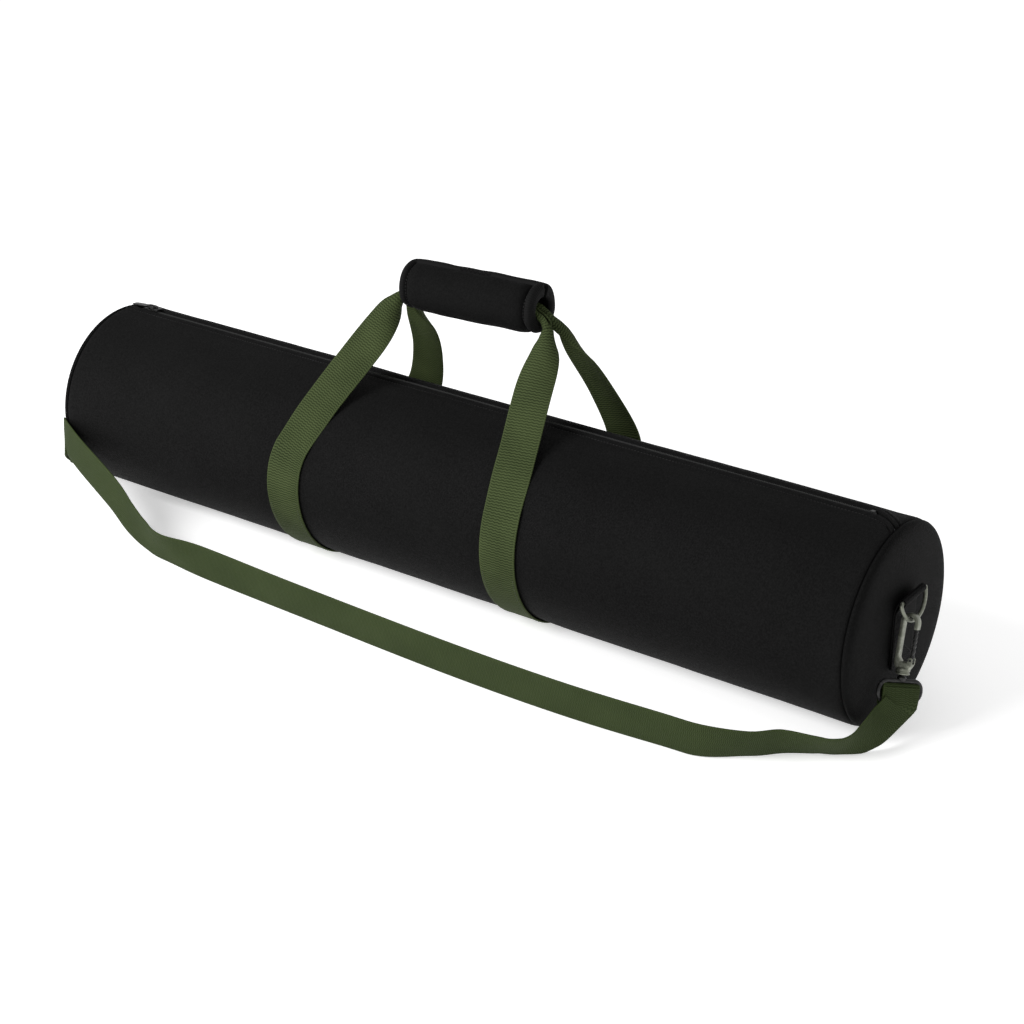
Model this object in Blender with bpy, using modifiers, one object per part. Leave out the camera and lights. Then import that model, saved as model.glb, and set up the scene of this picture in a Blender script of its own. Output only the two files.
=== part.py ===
"""Padded telescope carry case: a soft tube with a full-length zip, two domed end panels,
a wrap-around webbing carry handle with a padded grip, and a clip-on shoulder strap.

Metres, +Z up. +X runs along the tube, +Y is the back. The origin is on the floor under
the middle of the case. Run with: blender --background --python part.py
"""

import math

import bmesh
import bpy
from mathutils import Matrix, Vector

# Driving dimensions of the tube
RADIUS = 0.090
SEAM_X = 0.435
SHELL = 0.0012
FOAM = 0.0080
LINING = 0.0008
GAP = 0.0003
FLOOR_RADIUS = 0.0921
AXIS_Z = RADIUS
DOME = 0.0085
WELT_RADIUS = 0.0883
WELT_WIRE = 0.0011

# Zip, just behind the top line of the tube
ZIP_ANGLE = 82.0
ZIP_HALF_BAND = 6.5
ZIP_HALF_SLOT = 3.5
ZIP_START = -0.420
ZIP_END = 0.408
SLIDER_X = -0.403

# Webbing
WEB = 0.038
WEB_THICK = 0.0018
LEFT_BAND_X = -0.1495
RIGHT_BAND_X = 0.0973
LEG_GAP = 0.0008
LEG_RADIUS = FLOOR_RADIUS + LEG_GAP + WEB_THICK / 2

# Carry grip
GRIP_CENTRE = Vector((-0.005, 0.020, 0.2757))
GRIP_TILT = math.radians(2.4)
GRIP_LENGTH = 0.148
GRIP_RADIUS = 0.0225
GRIP_SKIN = 0.0012
GRIP_HOLLOW = 0.0140
FLAP_HINGE_ANGLE = -40.0
FLAP_EDGE_ANGLE = 68.0
MOUTH_WIDTH = 0.026
FOLD_WIDTH = 0.0105
FOLD_THICK = 0.0050

# End hardware
RING_WIRE = 0.00175
RING_HALF_WIDTH = 0.022
RING_CORNER = 0.0022
RING_BAR = Vector((0.4515, 0.0, 0.1215))
RING_APEX = Vector((0.4560, 0.0, 0.1015))
TAB_WIDTH = 0.038
TAB_THICK = 0.0012
TAB_LENGTH = 0.0640
HOOK_WIDTH = 0.0070
HOOK_EYE = 0.0045
HOOK_OUTER = 0.0078
EYE_CENTRE = 0.0016
HOOK_BASE_TOP = 0.0345
HOOK_BASE_END = 0.0450
GATE_TIP = 0.0075
GATE_WIDTH = 0.0038
EAR_IN = 0.0022
PIN_RADIUS = 0.0006
PIN_HOLE = 0.0009
LOOP_WIRE = 0.0019
LOOP_TOP = 0.0505
LOOP_BOTTOM = 0.0680
LOOP_HALF_WIDTH = 0.0215
STEM_RADIUS = 0.0022
HOOK_AXIS = {"right": (0.075, -0.36, -0.93), "left": (-0.09, -0.50, -0.86)}
LOOP_TURN = {"right": 30.0, "left": -20.0}

# Shoulder strap: lower and upper edge of the webbing between the loops, from right to left
STRAP_EDGES = [
    ((0.4635, -0.0335, 0.0150), (0.4505, -0.0590, 0.0395)),
    ((0.4560, -0.0480, 0.0065), (0.4490, -0.0730, 0.0345)),
    ((0.4475, -0.0600, 0.0020), (0.4460, -0.0862, 0.0295)),
    ((0.4380, -0.0700, 0.0012), (0.4410, -0.0960, 0.0275)),
    ((0.4280, -0.0790, 0.0010), (0.4330, -0.1040, 0.0285)),
    ((0.4170, -0.0870, 0.0010), (0.4230, -0.1090, 0.0305)),
    ((0.3950, -0.1020, 0.0010), (0.4000, -0.1200, 0.0335)),
    ((0.3740, -0.1220, 0.0010), (0.3800, -0.1390, 0.0345)),
    ((0.3420, -0.1450, 0.0010), (0.3470, -0.1540, 0.0370)),
    ((0.3060, -0.1500, 0.0010), (0.3090, -0.1580, 0.0378)),
    ((0.2110, -0.1570, 0.0010), (0.2120, -0.1640, 0.0380)),
    ((0.0840, -0.1580, 0.0010), (0.0850, -0.1640, 0.0382)),
    ((-0.0820, -0.1520, 0.0010), (-0.0800, -0.1580, 0.0382)),
    ((-0.2040, -0.1460, 0.0010), (-0.1990, -0.1510, 0.0380)),
    ((-0.2580, -0.1400, 0.0015), (-0.2500, -0.1530, 0.0365)),
    ((-0.2950, -0.1325, 0.0035), (-0.2800, -0.1420, 0.0368)),
    ((-0.3250, -0.1260, 0.0095), (-0.3100, -0.1300, 0.0445)),
    ((-0.3550, -0.1180, 0.0235), (-0.3405, -0.1200, 0.0588)),
    ((-0.4150, -0.1010, 0.0430), (-0.4045, -0.1030, 0.0795)),
    ((-0.4425, -0.0885, 0.0500), (-0.4360, -0.0915, 0.0873)),
    ((-0.4550, -0.0690, 0.0360), (-0.4515, -0.0800, 0.0722)),
    ((-0.4625, -0.0520, 0.0292), (-0.4580, -0.0775, 0.0570)),
]


def clear_scene():
    for obj in list(bpy.data.objects):
        bpy.data.objects.remove(obj, do_unlink=True)


def new_collection(name):
    collection = bpy.data.collections.new(name)
    bpy.context.scene.collection.children.link(collection)
    return collection


def material(name, colour, roughness, metallic=0.0):
    found = bpy.data.materials.get(name)
    if found:
        return found
    made = bpy.data.materials.new(name)
    made.use_nodes = True
    shader = made.node_tree.nodes["Principled BSDF"]
    shader.inputs["Base Color"].default_value = (*colour, 1.0)
    shader.inputs["Roughness"].default_value = roughness
    shader.inputs["Metallic"].default_value = metallic
    return made


clear_scene()
CASE = new_collection("telescope_carry_case")
CUTTERS = new_collection("cutters")
NYLON = material("black_nylon", (0.012, 0.012, 0.013), 0.75)
FOAM_GREY = material("grey_foam", (0.10, 0.10, 0.11), 0.95)
LINING_BLACK = material("black_lining", (0.02, 0.02, 0.022), 0.60)
WEBBING = material("olive_webbing", (0.045, 0.085, 0.025), 0.80)
BLACK_WEB = material("black_webbing", (0.012, 0.012, 0.012), 0.80)
ZIP_BLACK = material("black_zip", (0.010, 0.010, 0.011), 0.45)
GUNMETAL = material("gunmetal", (0.10, 0.11, 0.08), 0.35, 0.9)
BLACK_METAL = material("black_metal", (0.02, 0.02, 0.02), 0.35, 0.6)


def empty(name, location):
    made = bpy.data.objects.new(name, None)
    made.location = location
    made.empty_display_size = 0.02
    CASE.objects.link(made)
    bpy.context.view_layer.update()
    return made


def parent_to(obj, parent):
    obj.parent = parent
    obj.matrix_parent_inverse = parent.matrix_world.inverted()


def add(name, data, finish, collection=CASE):
    made = bpy.data.objects.new(name, data)
    made.data.materials.append(finish)
    collection.objects.link(made)
    return made


def on_circle(radius, degrees):
    """(y, z) at an angle round the tube: 0 is the back, 90 the top, 180 the front. It rests flat."""
    angle = math.radians(degrees)
    flat = FLOOR_RADIUS - radius
    return radius * math.cos(angle), max(AXIS_Z + radius * math.sin(angle), flat)


def arc(start, end, step=7.5):
    """Angles from start to end, with every quarter turn between them hit exactly."""
    stops = [start]
    stops += [a for a in range(-360, 721, 90) if min(start, end) < a < max(start, end)]
    stops = sorted(stops + [end], reverse=end < start)
    angles = [start]
    for low, high in zip(stops, stops[1:]):
        count = max(1, round(abs(high - low) / step))
        angles += [low + (high - low) * i / count for i in range(1, count + 1)]
    return angles


def prism(name, outline, length, centre_x, finish):
    """A flat outline of (y, z) points, extruded along X."""
    curve = bpy.data.curves.new(name, "CURVE")
    curve.dimensions = "2D"
    curve.fill_mode = "BOTH"
    curve.extrude = length / 2
    spline = curve.splines.new("POLY")
    spline.points.add(len(outline) - 1)
    for point, (y, z) in zip(spline.points, outline):
        point.co = (y, z, 0.0, 1.0)
    spline.use_cyclic_u = True
    made = add(name, curve, finish)
    made.rotation_euler = (math.pi / 2, 0.0, math.pi / 2)
    made.location.x = centre_x
    return made


def layer(outer, inner, start, end, place=on_circle, step=7.5):
    """Outline of a curved wall between two radii, from one angle to another."""
    angles = arc(start, end, step)
    return [place(outer, a) for a in angles] + [place(inner, a) for a in reversed(angles)]


def loft(name, rings, finish):
    """A closed solid through rings of equal length, with flat ends."""
    mesh = bpy.data.meshes.new(name)
    bm = bmesh.new()
    rows = [[bm.verts.new(point) for point in ring] for ring in rings]
    for first, second in zip(rows, rows[1:]):
        for i in range(len(first)):
            j = (i + 1) % len(first)
            bm.faces.new((first[i], first[j], second[j], second[i]))
    bm.faces.new(list(reversed(rows[0])))
    bm.faces.new(rows[-1])
    bmesh.ops.recalc_face_normals(bm, faces=bm.faces)
    bm.to_mesh(mesh)
    bm.free()
    return add(name, mesh, finish)


def ribbon(name, centres, sides, widths, thicknesses, finish):
    """A flat band that follows centres and lies on the floor. Each side vector points across it."""
    rings = []
    for i, centre in enumerate(centres):
        ahead = centres[min(i + 1, len(centres) - 1)]
        behind = centres[max(i - 1, 0)]
        along = (ahead - behind).normalized()
        side = (sides[i] - along * sides[i].dot(along)).normalized()
        up = along.cross(side)
        across = side * widths[i] / 2
        lift = up * thicknesses[i] / 2
        corners = [centre - across - lift, centre + across - lift,
                   centre + across + lift, centre - across + lift]
        sunk = Vector((0.0, 0.0, min(0.0, *(corner.z for corner in corners))))
        rings.append([corner - sunk for corner in corners])
    return loft(name, rings, finish)


def smooth(points, spacing):
    """Points read from a Catmull-Rom curve through the given ones. Any length of vector."""
    found = []
    for i in range(len(points) - 1):
        p0, p1 = points[max(i - 1, 0)], points[i]
        p2, p3 = points[i + 1], points[min(i + 2, len(points) - 1)]
        steps = max(1, round((Vector(p2[:3]) - Vector(p1[:3])).length / spacing))
        for k in range(steps):
            t = k / steps
            found.append(tuple(
                0.5 * (2 * b + (c - a) * t + (2 * a - 5 * b + 4 * c - d) * t * t
                       + (3 * b - a - 3 * c + d) * t ** 3)
                for a, b, c, d in zip(p0, p1, p2, p3)))
    found.append(tuple(points[-1]))
    return found


def turned(name, profile, finish, steps=40):
    """A profile of (radius, x) points, turned about the tube's axis."""
    mesh = bpy.data.meshes.new(name)
    mesh.from_pydata([(r, 0.0, h) for r, h in profile], [(i, i + 1) for i in range(len(profile) - 1)], [])
    made = add(name, mesh, finish)
    screw = made.modifiers.new("turn", "SCREW")
    screw.steps = steps
    screw.render_steps = steps
    screw.use_merge_vertices = True
    screw.merge_threshold = 0.0001
    return made


def place_on_end(obj, side):
    """Lays a turned piece, drawn outwards along +Z, onto the right or left end of the tube."""
    obj.rotation_euler = (0.0, math.pi / 2 if side == "right" else -math.pi / 2, 0.0)
    obj.location = (0.0, 0.0, AXIS_Z)
    return obj


def tube(name, points, radius, finish, closed=False, resolution=2):
    """A round wire through the points."""
    curve = bpy.data.curves.new(name, "CURVE")
    curve.dimensions = "3D"
    curve.bevel_depth = radius
    curve.bevel_resolution = resolution
    curve.use_fill_caps = not closed
    spline = curve.splines.new("POLY")
    spline.points.add(len(points) - 1)
    for point, place in zip(spline.points, points):
        point.co = (*place, 1.0)
    spline.use_cyclic_u = closed
    return add(name, curve, finish)


def as_mesh(obj):
    """Turns a curve object into a mesh object of the same name, with its caps welded."""
    bpy.context.view_layer.update()
    evaluated = obj.evaluated_get(bpy.context.evaluated_depsgraph_get())
    mesh = bpy.data.meshes.new_from_object(evaluated)
    name, world, finish = obj.name, obj.matrix_world.copy(), obj.data.materials[0]
    bpy.data.objects.remove(obj, do_unlink=True)
    bm = bmesh.new()
    bm.from_mesh(mesh)
    bmesh.ops.remove_doubles(bm, verts=bm.verts, dist=0.00001)
    bmesh.ops.recalc_face_normals(bm, faces=bm.faces)
    bm.to_mesh(mesh)
    bm.free()
    mesh.materials.clear()
    made = add(name, mesh, finish)
    made.matrix_world = world
    return made


def rod(name, start, end, radius, finish, collection=CASE, sides=16):
    """A straight cylinder from start to end."""
    mesh = bpy.data.meshes.new(name)
    bm = bmesh.new()
    bmesh.ops.create_cone(bm, cap_ends=True, segments=sides, radius1=radius, radius2=radius,
                          depth=(end - start).length)
    bm.to_mesh(mesh)
    bm.free()
    made = add(name, mesh, finish, collection)
    turn = (end - start).to_track_quat("Z", "Y").to_matrix().to_4x4()
    made.matrix_world = Matrix.Translation((start + end) / 2) @ turn
    return made


def block(name, frame, low, high, finish, collection=CASE):
    """A box between two corners of a local frame."""
    mesh = bpy.data.meshes.new(name)
    bm = bmesh.new()
    bmesh.ops.create_cube(bm, size=1.0)
    middle = (Vector(low) + Vector(high)) / 2
    size = Vector(high) - Vector(low)
    for vert in bm.verts:
        vert.co = middle + Vector(c * s for c, s in zip(vert.co, size))
    bm.to_mesh(mesh)
    bm.free()
    made = add(name, mesh, finish, collection)
    made.matrix_world = frame
    return made


def boolean(obj, other, operation):
    """Joins or cuts obj with a helper, which stays out of the case."""
    other.hide_render = True
    other.display_type = "WIRE"
    if other.name in CASE.objects:
        CASE.objects.unlink(other)
        CUTTERS.objects.link(other)
    change = obj.modifiers.new(other.name, "BOOLEAN")
    change.operation = operation
    change.object = other
    return obj


def make_tube():
    """Outer fabric, foam and lining, each a long wall that is open along the zip."""
    length = 2 * (SEAM_X - 0.0016)
    foam_outer = RADIUS - SHELL - GAP
    foam_inner = foam_outer - FOAM
    lining_outer = foam_inner - GAP
    band = (ZIP_ANGLE + ZIP_HALF_BAND, ZIP_ANGLE - ZIP_HALF_BAND + 360)
    slot = (ZIP_ANGLE + ZIP_HALF_SLOT, ZIP_ANGLE - ZIP_HALF_SLOT + 360)
    prism("outer_shell", layer(RADIUS, RADIUS - SHELL, *band), length, 0.0, NYLON)
    prism("foam_padding", layer(foam_outer, foam_inner, *slot), length, 0.0, FOAM_GREY)
    prism("inner_lining", layer(lining_outer, lining_outer - LINING, *slot), length, 0.0, LINING_BLACK)


def make_end(side):
    """Domed end panel: fabric cover, foam disc, lining disc and the welt in the seam."""
    edge = SEAM_X + 0.0015
    top = SEAM_X + DOME
    rim = RADIUS - 0.0015
    outer = [(0.0, top), (0.030, top - 0.01 * DOME), (0.058, top - 0.07 * DOME),
             (0.074, top - 0.18 * DOME), (0.083, top - 0.38 * DOME), (0.087, top - 0.60 * DOME), (rim, edge)]
    inner = [(r - SHELL * k, h - SHELL) for (r, h), k in zip(outer[:-1], (0, 0, 0.1, 0.3, 0.6, 0.9))]
    cover = outer + [(rim - SHELL, edge)] + inner[::-1]
    place_on_end(turned(f"end_cover_{side}", cover, NYLON), side)
    foam = [(max(r - 0.0006, 0.0), h - 0.0005) for r, h in inner]
    inside = WELT_RADIUS - WELT_WIRE - GAP - (FLOOR_RADIUS - RADIUS)
    foam += [(rim - SHELL - 0.0012, edge + GAP), (inside, SEAM_X + GAP), (0.0, SEAM_X + GAP)]
    place_on_end(turned(f"end_foam_{side}", foam, FOAM_GREY, 32), side)
    lining = [(0.0, SEAM_X), (inside, SEAM_X), (inside, SEAM_X - LINING), (0.0, SEAM_X - LINING)]
    place_on_end(turned(f"end_lining_{side}", lining, LINING_BLACK, 32), side)
    sign = 1 if side == "right" else -1
    welt = [(sign * SEAM_X, *on_circle(WELT_RADIUS, a)) for a in arc(0, 360, 9)[:-1]]
    tube(f"seam_welt_{side}", welt, WELT_WIRE, NYLON, closed=True, resolution=1)


def make_zip():
    """Two tapes with coils in the open band of the shell, a slider with its pull, and two stops."""
    length = ZIP_END - ZIP_START
    middle = (ZIP_END + ZIP_START) / 2
    floor = RADIUS - SHELL
    for name, low, high in (("front", 0.25, ZIP_HALF_BAND - 0.3), ("back", -ZIP_HALF_BAND + 0.3, -0.25)):
        tape = layer(floor + 0.0007, floor, ZIP_ANGLE + low, ZIP_ANGLE + high, step=2)
        prism(f"zip_tape_{name}", tape, 2 * (SEAM_X - 0.002), 0.0, ZIP_BLACK)
        near = 0.12 if low > 0 else -0.12
        far = 1.15 if low > 0 else -1.15
        coil = layer(floor + 0.0024, floor + 0.0010, ZIP_ANGLE + near, ZIP_ANGLE + far, step=2)
        prism(f"zip_coil_{name}", coil, length, middle, ZIP_BLACK)
    frame = zip_frame(SLIDER_X)
    slider = block("zip_slider", frame, (-0.0065, -0.0050, 0.0017), (0.0065, 0.0050, 0.0035), BLACK_METAL)
    crown = block("zip_slider_crown", frame, (-0.0035, -0.0012, 0.0030), (0.0035, 0.0012, 0.0058),
                  BLACK_METAL)
    eye = rod("zip_slider_eye", frame @ Vector((0, -0.004, 0.0045)), frame @ Vector((0, 0.004, 0.0045)),
              0.0010, BLACK_METAL, CUTTERS)
    boolean(slider, crown, "UNION")
    boolean(slider, eye, "DIFFERENCE")
    carriage = empty("zip_slide_axis", frame.translation)
    parent_to(slider, carriage)
    hinge = empty("zip_pull_axis", frame @ Vector((0, 0, 0.0045)))
    pull = tube("zip_pull", [frame @ Vector(p) for p in (
        (0.0, -0.0030, 0.0045), (0.0, 0.0030, 0.0045), (-0.007, 0.0030, 0.0046), (-0.0085, 0.0024, 0.0046),
        (-0.0085, -0.0024, 0.0046), (-0.007, -0.0030, 0.0046))], 0.0006, BLACK_METAL, closed=True)
    tab = block("zip_pull_tab", frame, (-0.0290, -0.0038, 0.0040), (-0.0080, 0.0038, 0.0052), BLACK_METAL)
    pull = as_mesh(pull)
    boolean(pull, tab, "UNION")
    parent_to(pull, hinge)
    for name, x in (("closed", ZIP_START + 0.004), ("open", ZIP_END - 0.004)):
        block(f"zip_stop_{name}", zip_frame(x), (-0.0022, -0.0030, 0.0017), (0.0022, 0.0030, 0.0026),
              BLACK_METAL)


def zip_frame(x):
    """Frame on the zip line at x: local X along the case, local Z outwards from the shell."""
    out = Vector((0.0, math.cos(math.radians(ZIP_ANGLE)), math.sin(math.radians(ZIP_ANGLE))))
    along = Vector((1.0, 0.0, 0.0))
    place = Vector((x, 0.0, AXIS_Z)) + out * (RADIUS - 0.0002)
    turn = Matrix((along, out.cross(along), out)).transposed().to_4x4()
    return Matrix.Translation(place) @ turn


def make_bands():
    """Webbing sewn round the underside of the tube, from chest height in front to behind."""
    for name, x in (("left", LEFT_BAND_X), ("right", RIGHT_BAND_X)):
        wall = layer(FLOOR_RADIUS, FLOOR_RADIUS - WEB_THICK, 165, 375)
        prism(f"webbing_band_{name}", wall, WEB, x, WEBBING)


def on_tube(x, degrees):
    return (x, *on_circle(LEG_RADIUS, degrees))


def grip_point(along, y, z):
    """A point of the grip's own frame: along its length, backwards and upwards from its middle."""
    x = along * math.cos(GRIP_TILT) - z * math.sin(GRIP_TILT)
    height = along * math.sin(GRIP_TILT) + z * math.cos(GRIP_TILT)
    return GRIP_CENTRE + Vector((x, y, height))


def make_handle_strap(name, left_leg, right_leg, shift, pivot):
    """One webbing loop: up the left side, folded narrow through the grip, and down the right side."""
    half = GRIP_LENGTH / 2
    stations = [(*place, 1.0, lean, 0.0, WEB, WEB_THICK) for *place, lean in left_leg]
    stations[-1] = (*stations[-1][:6], MOUTH_WIDTH, WEB_THICK)
    for along, width, lift in ((-half - 0.008, 0.0150, -0.0045), (-half, 0.0115, -0.0008),
                               (-half + 0.012, FOLD_WIDTH, 0.0), (-0.02, FOLD_WIDTH, 0.0),
                               (0.02, FOLD_WIDTH, 0.0), (half - 0.012, FOLD_WIDTH, 0.0),
                               (half, 0.0115, -0.0008), (half + 0.008, 0.0150, -0.0045)):
        out = shift * (width / 2 + 0.0010)
        thick = FOLD_THICK if width < 0.012 else 0.0030
        stations.append((*grip_point(along, out, lift), 0.0, 1.0, 0.0, width, thick))
    down = [(*place, -1.0, lean, 0.0, WEB, WEB_THICK) for *place, lean in reversed(right_leg)]
    down[0] = (*down[0][:6], MOUTH_WIDTH, WEB_THICK)
    read = smooth(stations + down, 0.011)
    made = ribbon(name, [Vector(s[:3]) for s in read], [Vector(s[3:6]) for s in read],
                  [s[6] for s in read], [s[7] for s in read], WEBBING)
    parent_to(made, pivot)


def make_handle():
    """Two webbing loops and the padded wrap that holds them together."""
    pivot = empty("handle_axis", (0.0, 0.0, AXIS_Z))
    front_left = [(*on_tube(x, a), 0.0) for x, a in (
        (LEFT_BAND_X, 180), (-0.1493, 172), (-0.1483, 164), (-0.1457, 156), (-0.1417, 148))]
    front_left += [(-0.1242, -0.0480, 0.1790, 0.1), (-0.1040, -0.0180, 0.2200, 0.2),
                   (-0.0945, 0.0020, 0.2520, 0.6)]
    front_right = [(*on_tube(x, a), 0.0) for x, a in (
        (RIGHT_BAND_X, 180), (RIGHT_BAND_X, 172), (0.0972, 164), (0.0970, 156), (0.0965, 148))]
    front_right += [(0.0905, -0.0480, 0.1790, -0.1), (0.0850, -0.0180, 0.2220, -0.2),
                    (0.0822, 0.0020, 0.2550, -0.6)]
    back_left = [(*on_tube(LEFT_BAND_X, 0), 0.0), (-0.1370, 0.0925, 0.1150, 0.0),
                 (-0.1190, 0.0912, 0.1450, 0.0), (-0.1055, 0.0780, 0.1850, -0.1),
                 (-0.0945, 0.0560, 0.2240, -0.2), (-0.0915, 0.0390, 0.2520, -0.6)]
    back_right = [(*on_tube(RIGHT_BAND_X, 0), 0.0), (0.1060, 0.0925, 0.1180, 0.0),
                  (0.1110, 0.0912, 0.1450, 0.0), (0.0990, 0.0760, 0.1880, 0.1),
                  (0.0860, 0.0540, 0.2300, 0.2), (0.0815, 0.0390, 0.2560, 0.6)]
    make_handle_strap("handle_strap_front", front_left, front_right, -1, pivot)
    make_handle_strap("handle_strap_back", back_left, back_right, 1, pivot)
    make_grip(pivot)


def on_grip(radius, degrees):
    angle = math.radians(degrees)
    return radius * math.cos(angle), radius * math.sin(angle)


def grip_prism(name, outer, inner, start, end, finish, pivot, length=GRIP_LENGTH):
    """A curved wall of the grip, extruded along the grip's own length."""
    made = prism(name, layer(outer, inner, start, end, on_grip, 12), length, 0.0, finish)
    turn = Matrix.Rotation(-GRIP_TILT, 4, "Y") @ made.rotation_euler.to_matrix().to_4x4()
    made.matrix_world = Matrix.Translation(GRIP_CENTRE) @ turn
    bpy.context.view_layer.update()
    parent_to(made, pivot)
    return made


def make_grip(pivot):
    """Padded wrap in two leaves: a fixed one round the front and a flap that closes behind."""
    flap_pivot = empty("flap_axis", grip_point(0.0, *on_grip(GRIP_RADIUS, FLAP_HINGE_ANGLE)))
    parent_to(flap_pivot, pivot)
    bpy.context.view_layer.update()
    foam_outer = GRIP_RADIUS - GRIP_SKIN - GAP
    clear = 1.2
    tape = 2.6
    main = (FLAP_EDGE_ANGLE + tape + clear, 360 + FLAP_HINGE_ANGLE - clear)
    flap = (FLAP_HINGE_ANGLE + clear, FLAP_EDGE_ANGLE - tape - clear)
    short = GRIP_LENGTH - 0.004
    grip_prism("grip_cover", GRIP_RADIUS, GRIP_RADIUS - GRIP_SKIN, *main, NYLON, pivot)
    grip_prism("grip_foam", foam_outer, GRIP_HOLLOW, *main, FOAM_GREY, pivot, short)
    grip_prism("grip_flap", GRIP_RADIUS, GRIP_RADIUS - GRIP_SKIN, *flap, NYLON, flap_pivot)
    grip_prism("grip_flap_foam", foam_outer, GRIP_HOLLOW, *flap, FOAM_GREY, flap_pivot, short)
    grip_prism("grip_loop_tape", foam_outer, GRIP_HOLLOW, FLAP_EDGE_ANGLE + 0.6,
               FLAP_EDGE_ANGLE + tape, BLACK_WEB, pivot, short)
    grip_prism("grip_hook_tape", foam_outer, GRIP_HOLLOW, FLAP_EDGE_ANGLE - tape,
               FLAP_EDGE_ANGLE - 0.6, BLACK_WEB, flap_pivot, short)


def mirrored(vector, side):
    return Vector((vector.x if side == "right" else -vector.x, vector.y, vector.z))


def ring_point(side, degrees):
    """A point of the D-ring's bow: 0 is its front end, 90 its lowest point, 180 its back end."""
    bar, apex = mirrored(RING_BAR, side), mirrored(RING_APEX, side)
    angle = math.radians(degrees)
    return bar + Vector((0, -RING_HALF_WIDTH * math.cos(angle), 0)) + (apex - bar) * math.sin(angle)


def loop_frame(side):
    """Frame of the swivel loop: as the hook's, but turned about its stem."""
    return hook_frame(side) @ Matrix.Rotation(math.radians(LOOP_TURN[side]), 4, "Z")


def hook_frame(side):
    """Frame of a hanging hook: origin where it pulls on the D-ring, X outwards, Z down the hook."""
    down = Vector(HOOK_AXIS[side]).normalized()
    out = Vector((1.0 if side == "right" else -1.0, 0.0, 0.0))
    out = (out - down * out.dot(down)).normalized()
    across = down.cross(out)
    drop = RING_BAR.z - RING_APEX.z
    pull = math.degrees(math.atan2(-down.z * drop, -down.y * RING_HALF_WIDTH))
    place = ring_point(side, pull)
    return Matrix.Translation(place) @ Matrix((out, across, down)).transposed().to_4x4()


def make_tab(side):
    """Black webbing sewn to the end panel: it runs up, over the D-ring's bar and back down on itself."""
    bend = RING_WIRE + GAP + TAB_THICK / 2
    inner, outer = -0.0071, -0.0071 + TAB_THICK + GAP
    points = [(inner, -TAB_LENGTH), (inner, -0.0300), (inner + 0.0002, -0.0130), (-0.0050, -0.0050)]
    points += [(bend * math.cos(math.radians(a)), bend * math.sin(math.radians(a)))
               for a in range(170, -101, -30)]
    points += [(-0.0028, -0.0064), (outer + 0.0003, -0.0125), (outer, -0.0300), (outer, -TAB_LENGTH)]
    bar = mirrored(RING_BAR, side)
    sign = 1 if side == "right" else -1
    centres = [bar + Vector((sign * x, 0.0, z)) for x, z in points]
    count = len(centres)
    ribbon(f"end_tab_{side}", centres, [Vector((0, 1, 0))] * count, [TAB_WIDTH] * count,
           [TAB_THICK] * count, BLACK_WEB)


def make_d_ring(side):
    """Wire ring: a straight bar in the tab and a half-round bow for the hook."""
    bar = mirrored(RING_BAR, side)
    wide = RING_HALF_WIDTH - RING_CORNER
    points = [bar + Vector((0, -wide + 2 * wide * i / 4, 0)) for i in range(5)]
    points += [ring_point(side, 174 - 12 * i) for i in range(15)]
    ring = tube(f"d_ring_{side}", points, RING_WIRE, GUNMETAL, closed=True)
    parent_to(ring, empty(f"d_ring_axis_{side}", bar))


def hook_outline():
    """Side view of the hook as (out, down) points: a spine, an eye at the top and a solid base."""
    inner = [(HOOK_EYE * math.cos(math.radians(a)), EYE_CENTRE - HOOK_EYE * math.sin(math.radians(a)))
             for a in range(180, -1, -20)]
    outer = [(HOOK_OUTER * math.cos(math.radians(a)), EYE_CENTRE - HOOK_OUTER * math.sin(math.radians(a)))
             for a in range(0, 181, 18)]
    tip = [(HOOK_EYE, GATE_TIP - 0.0009), (HOOK_OUTER, GATE_TIP - 0.0009)]
    base = [(-HOOK_OUTER, HOOK_BASE_END - 0.001), (-HOOK_OUTER + 0.001, HOOK_BASE_END),
            (HOOK_OUTER - 0.001, HOOK_BASE_END), (HOOK_OUTER, HOOK_BASE_END - 0.001),
            (HOOK_OUTER, HOOK_BASE_TOP), (-HOOK_EYE, HOOK_BASE_TOP)]
    return inner + tip + outer + base


def plate(name, frame, outline, width, finish):
    """An (out, down) outline of the hook's frame, extruded evenly across."""
    rings = []
    for across in (-width / 2, width / 2):
        rings.append([frame @ Vector((out, across, down)) for out, down in outline])
    return loft(name, rings, finish)


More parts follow.
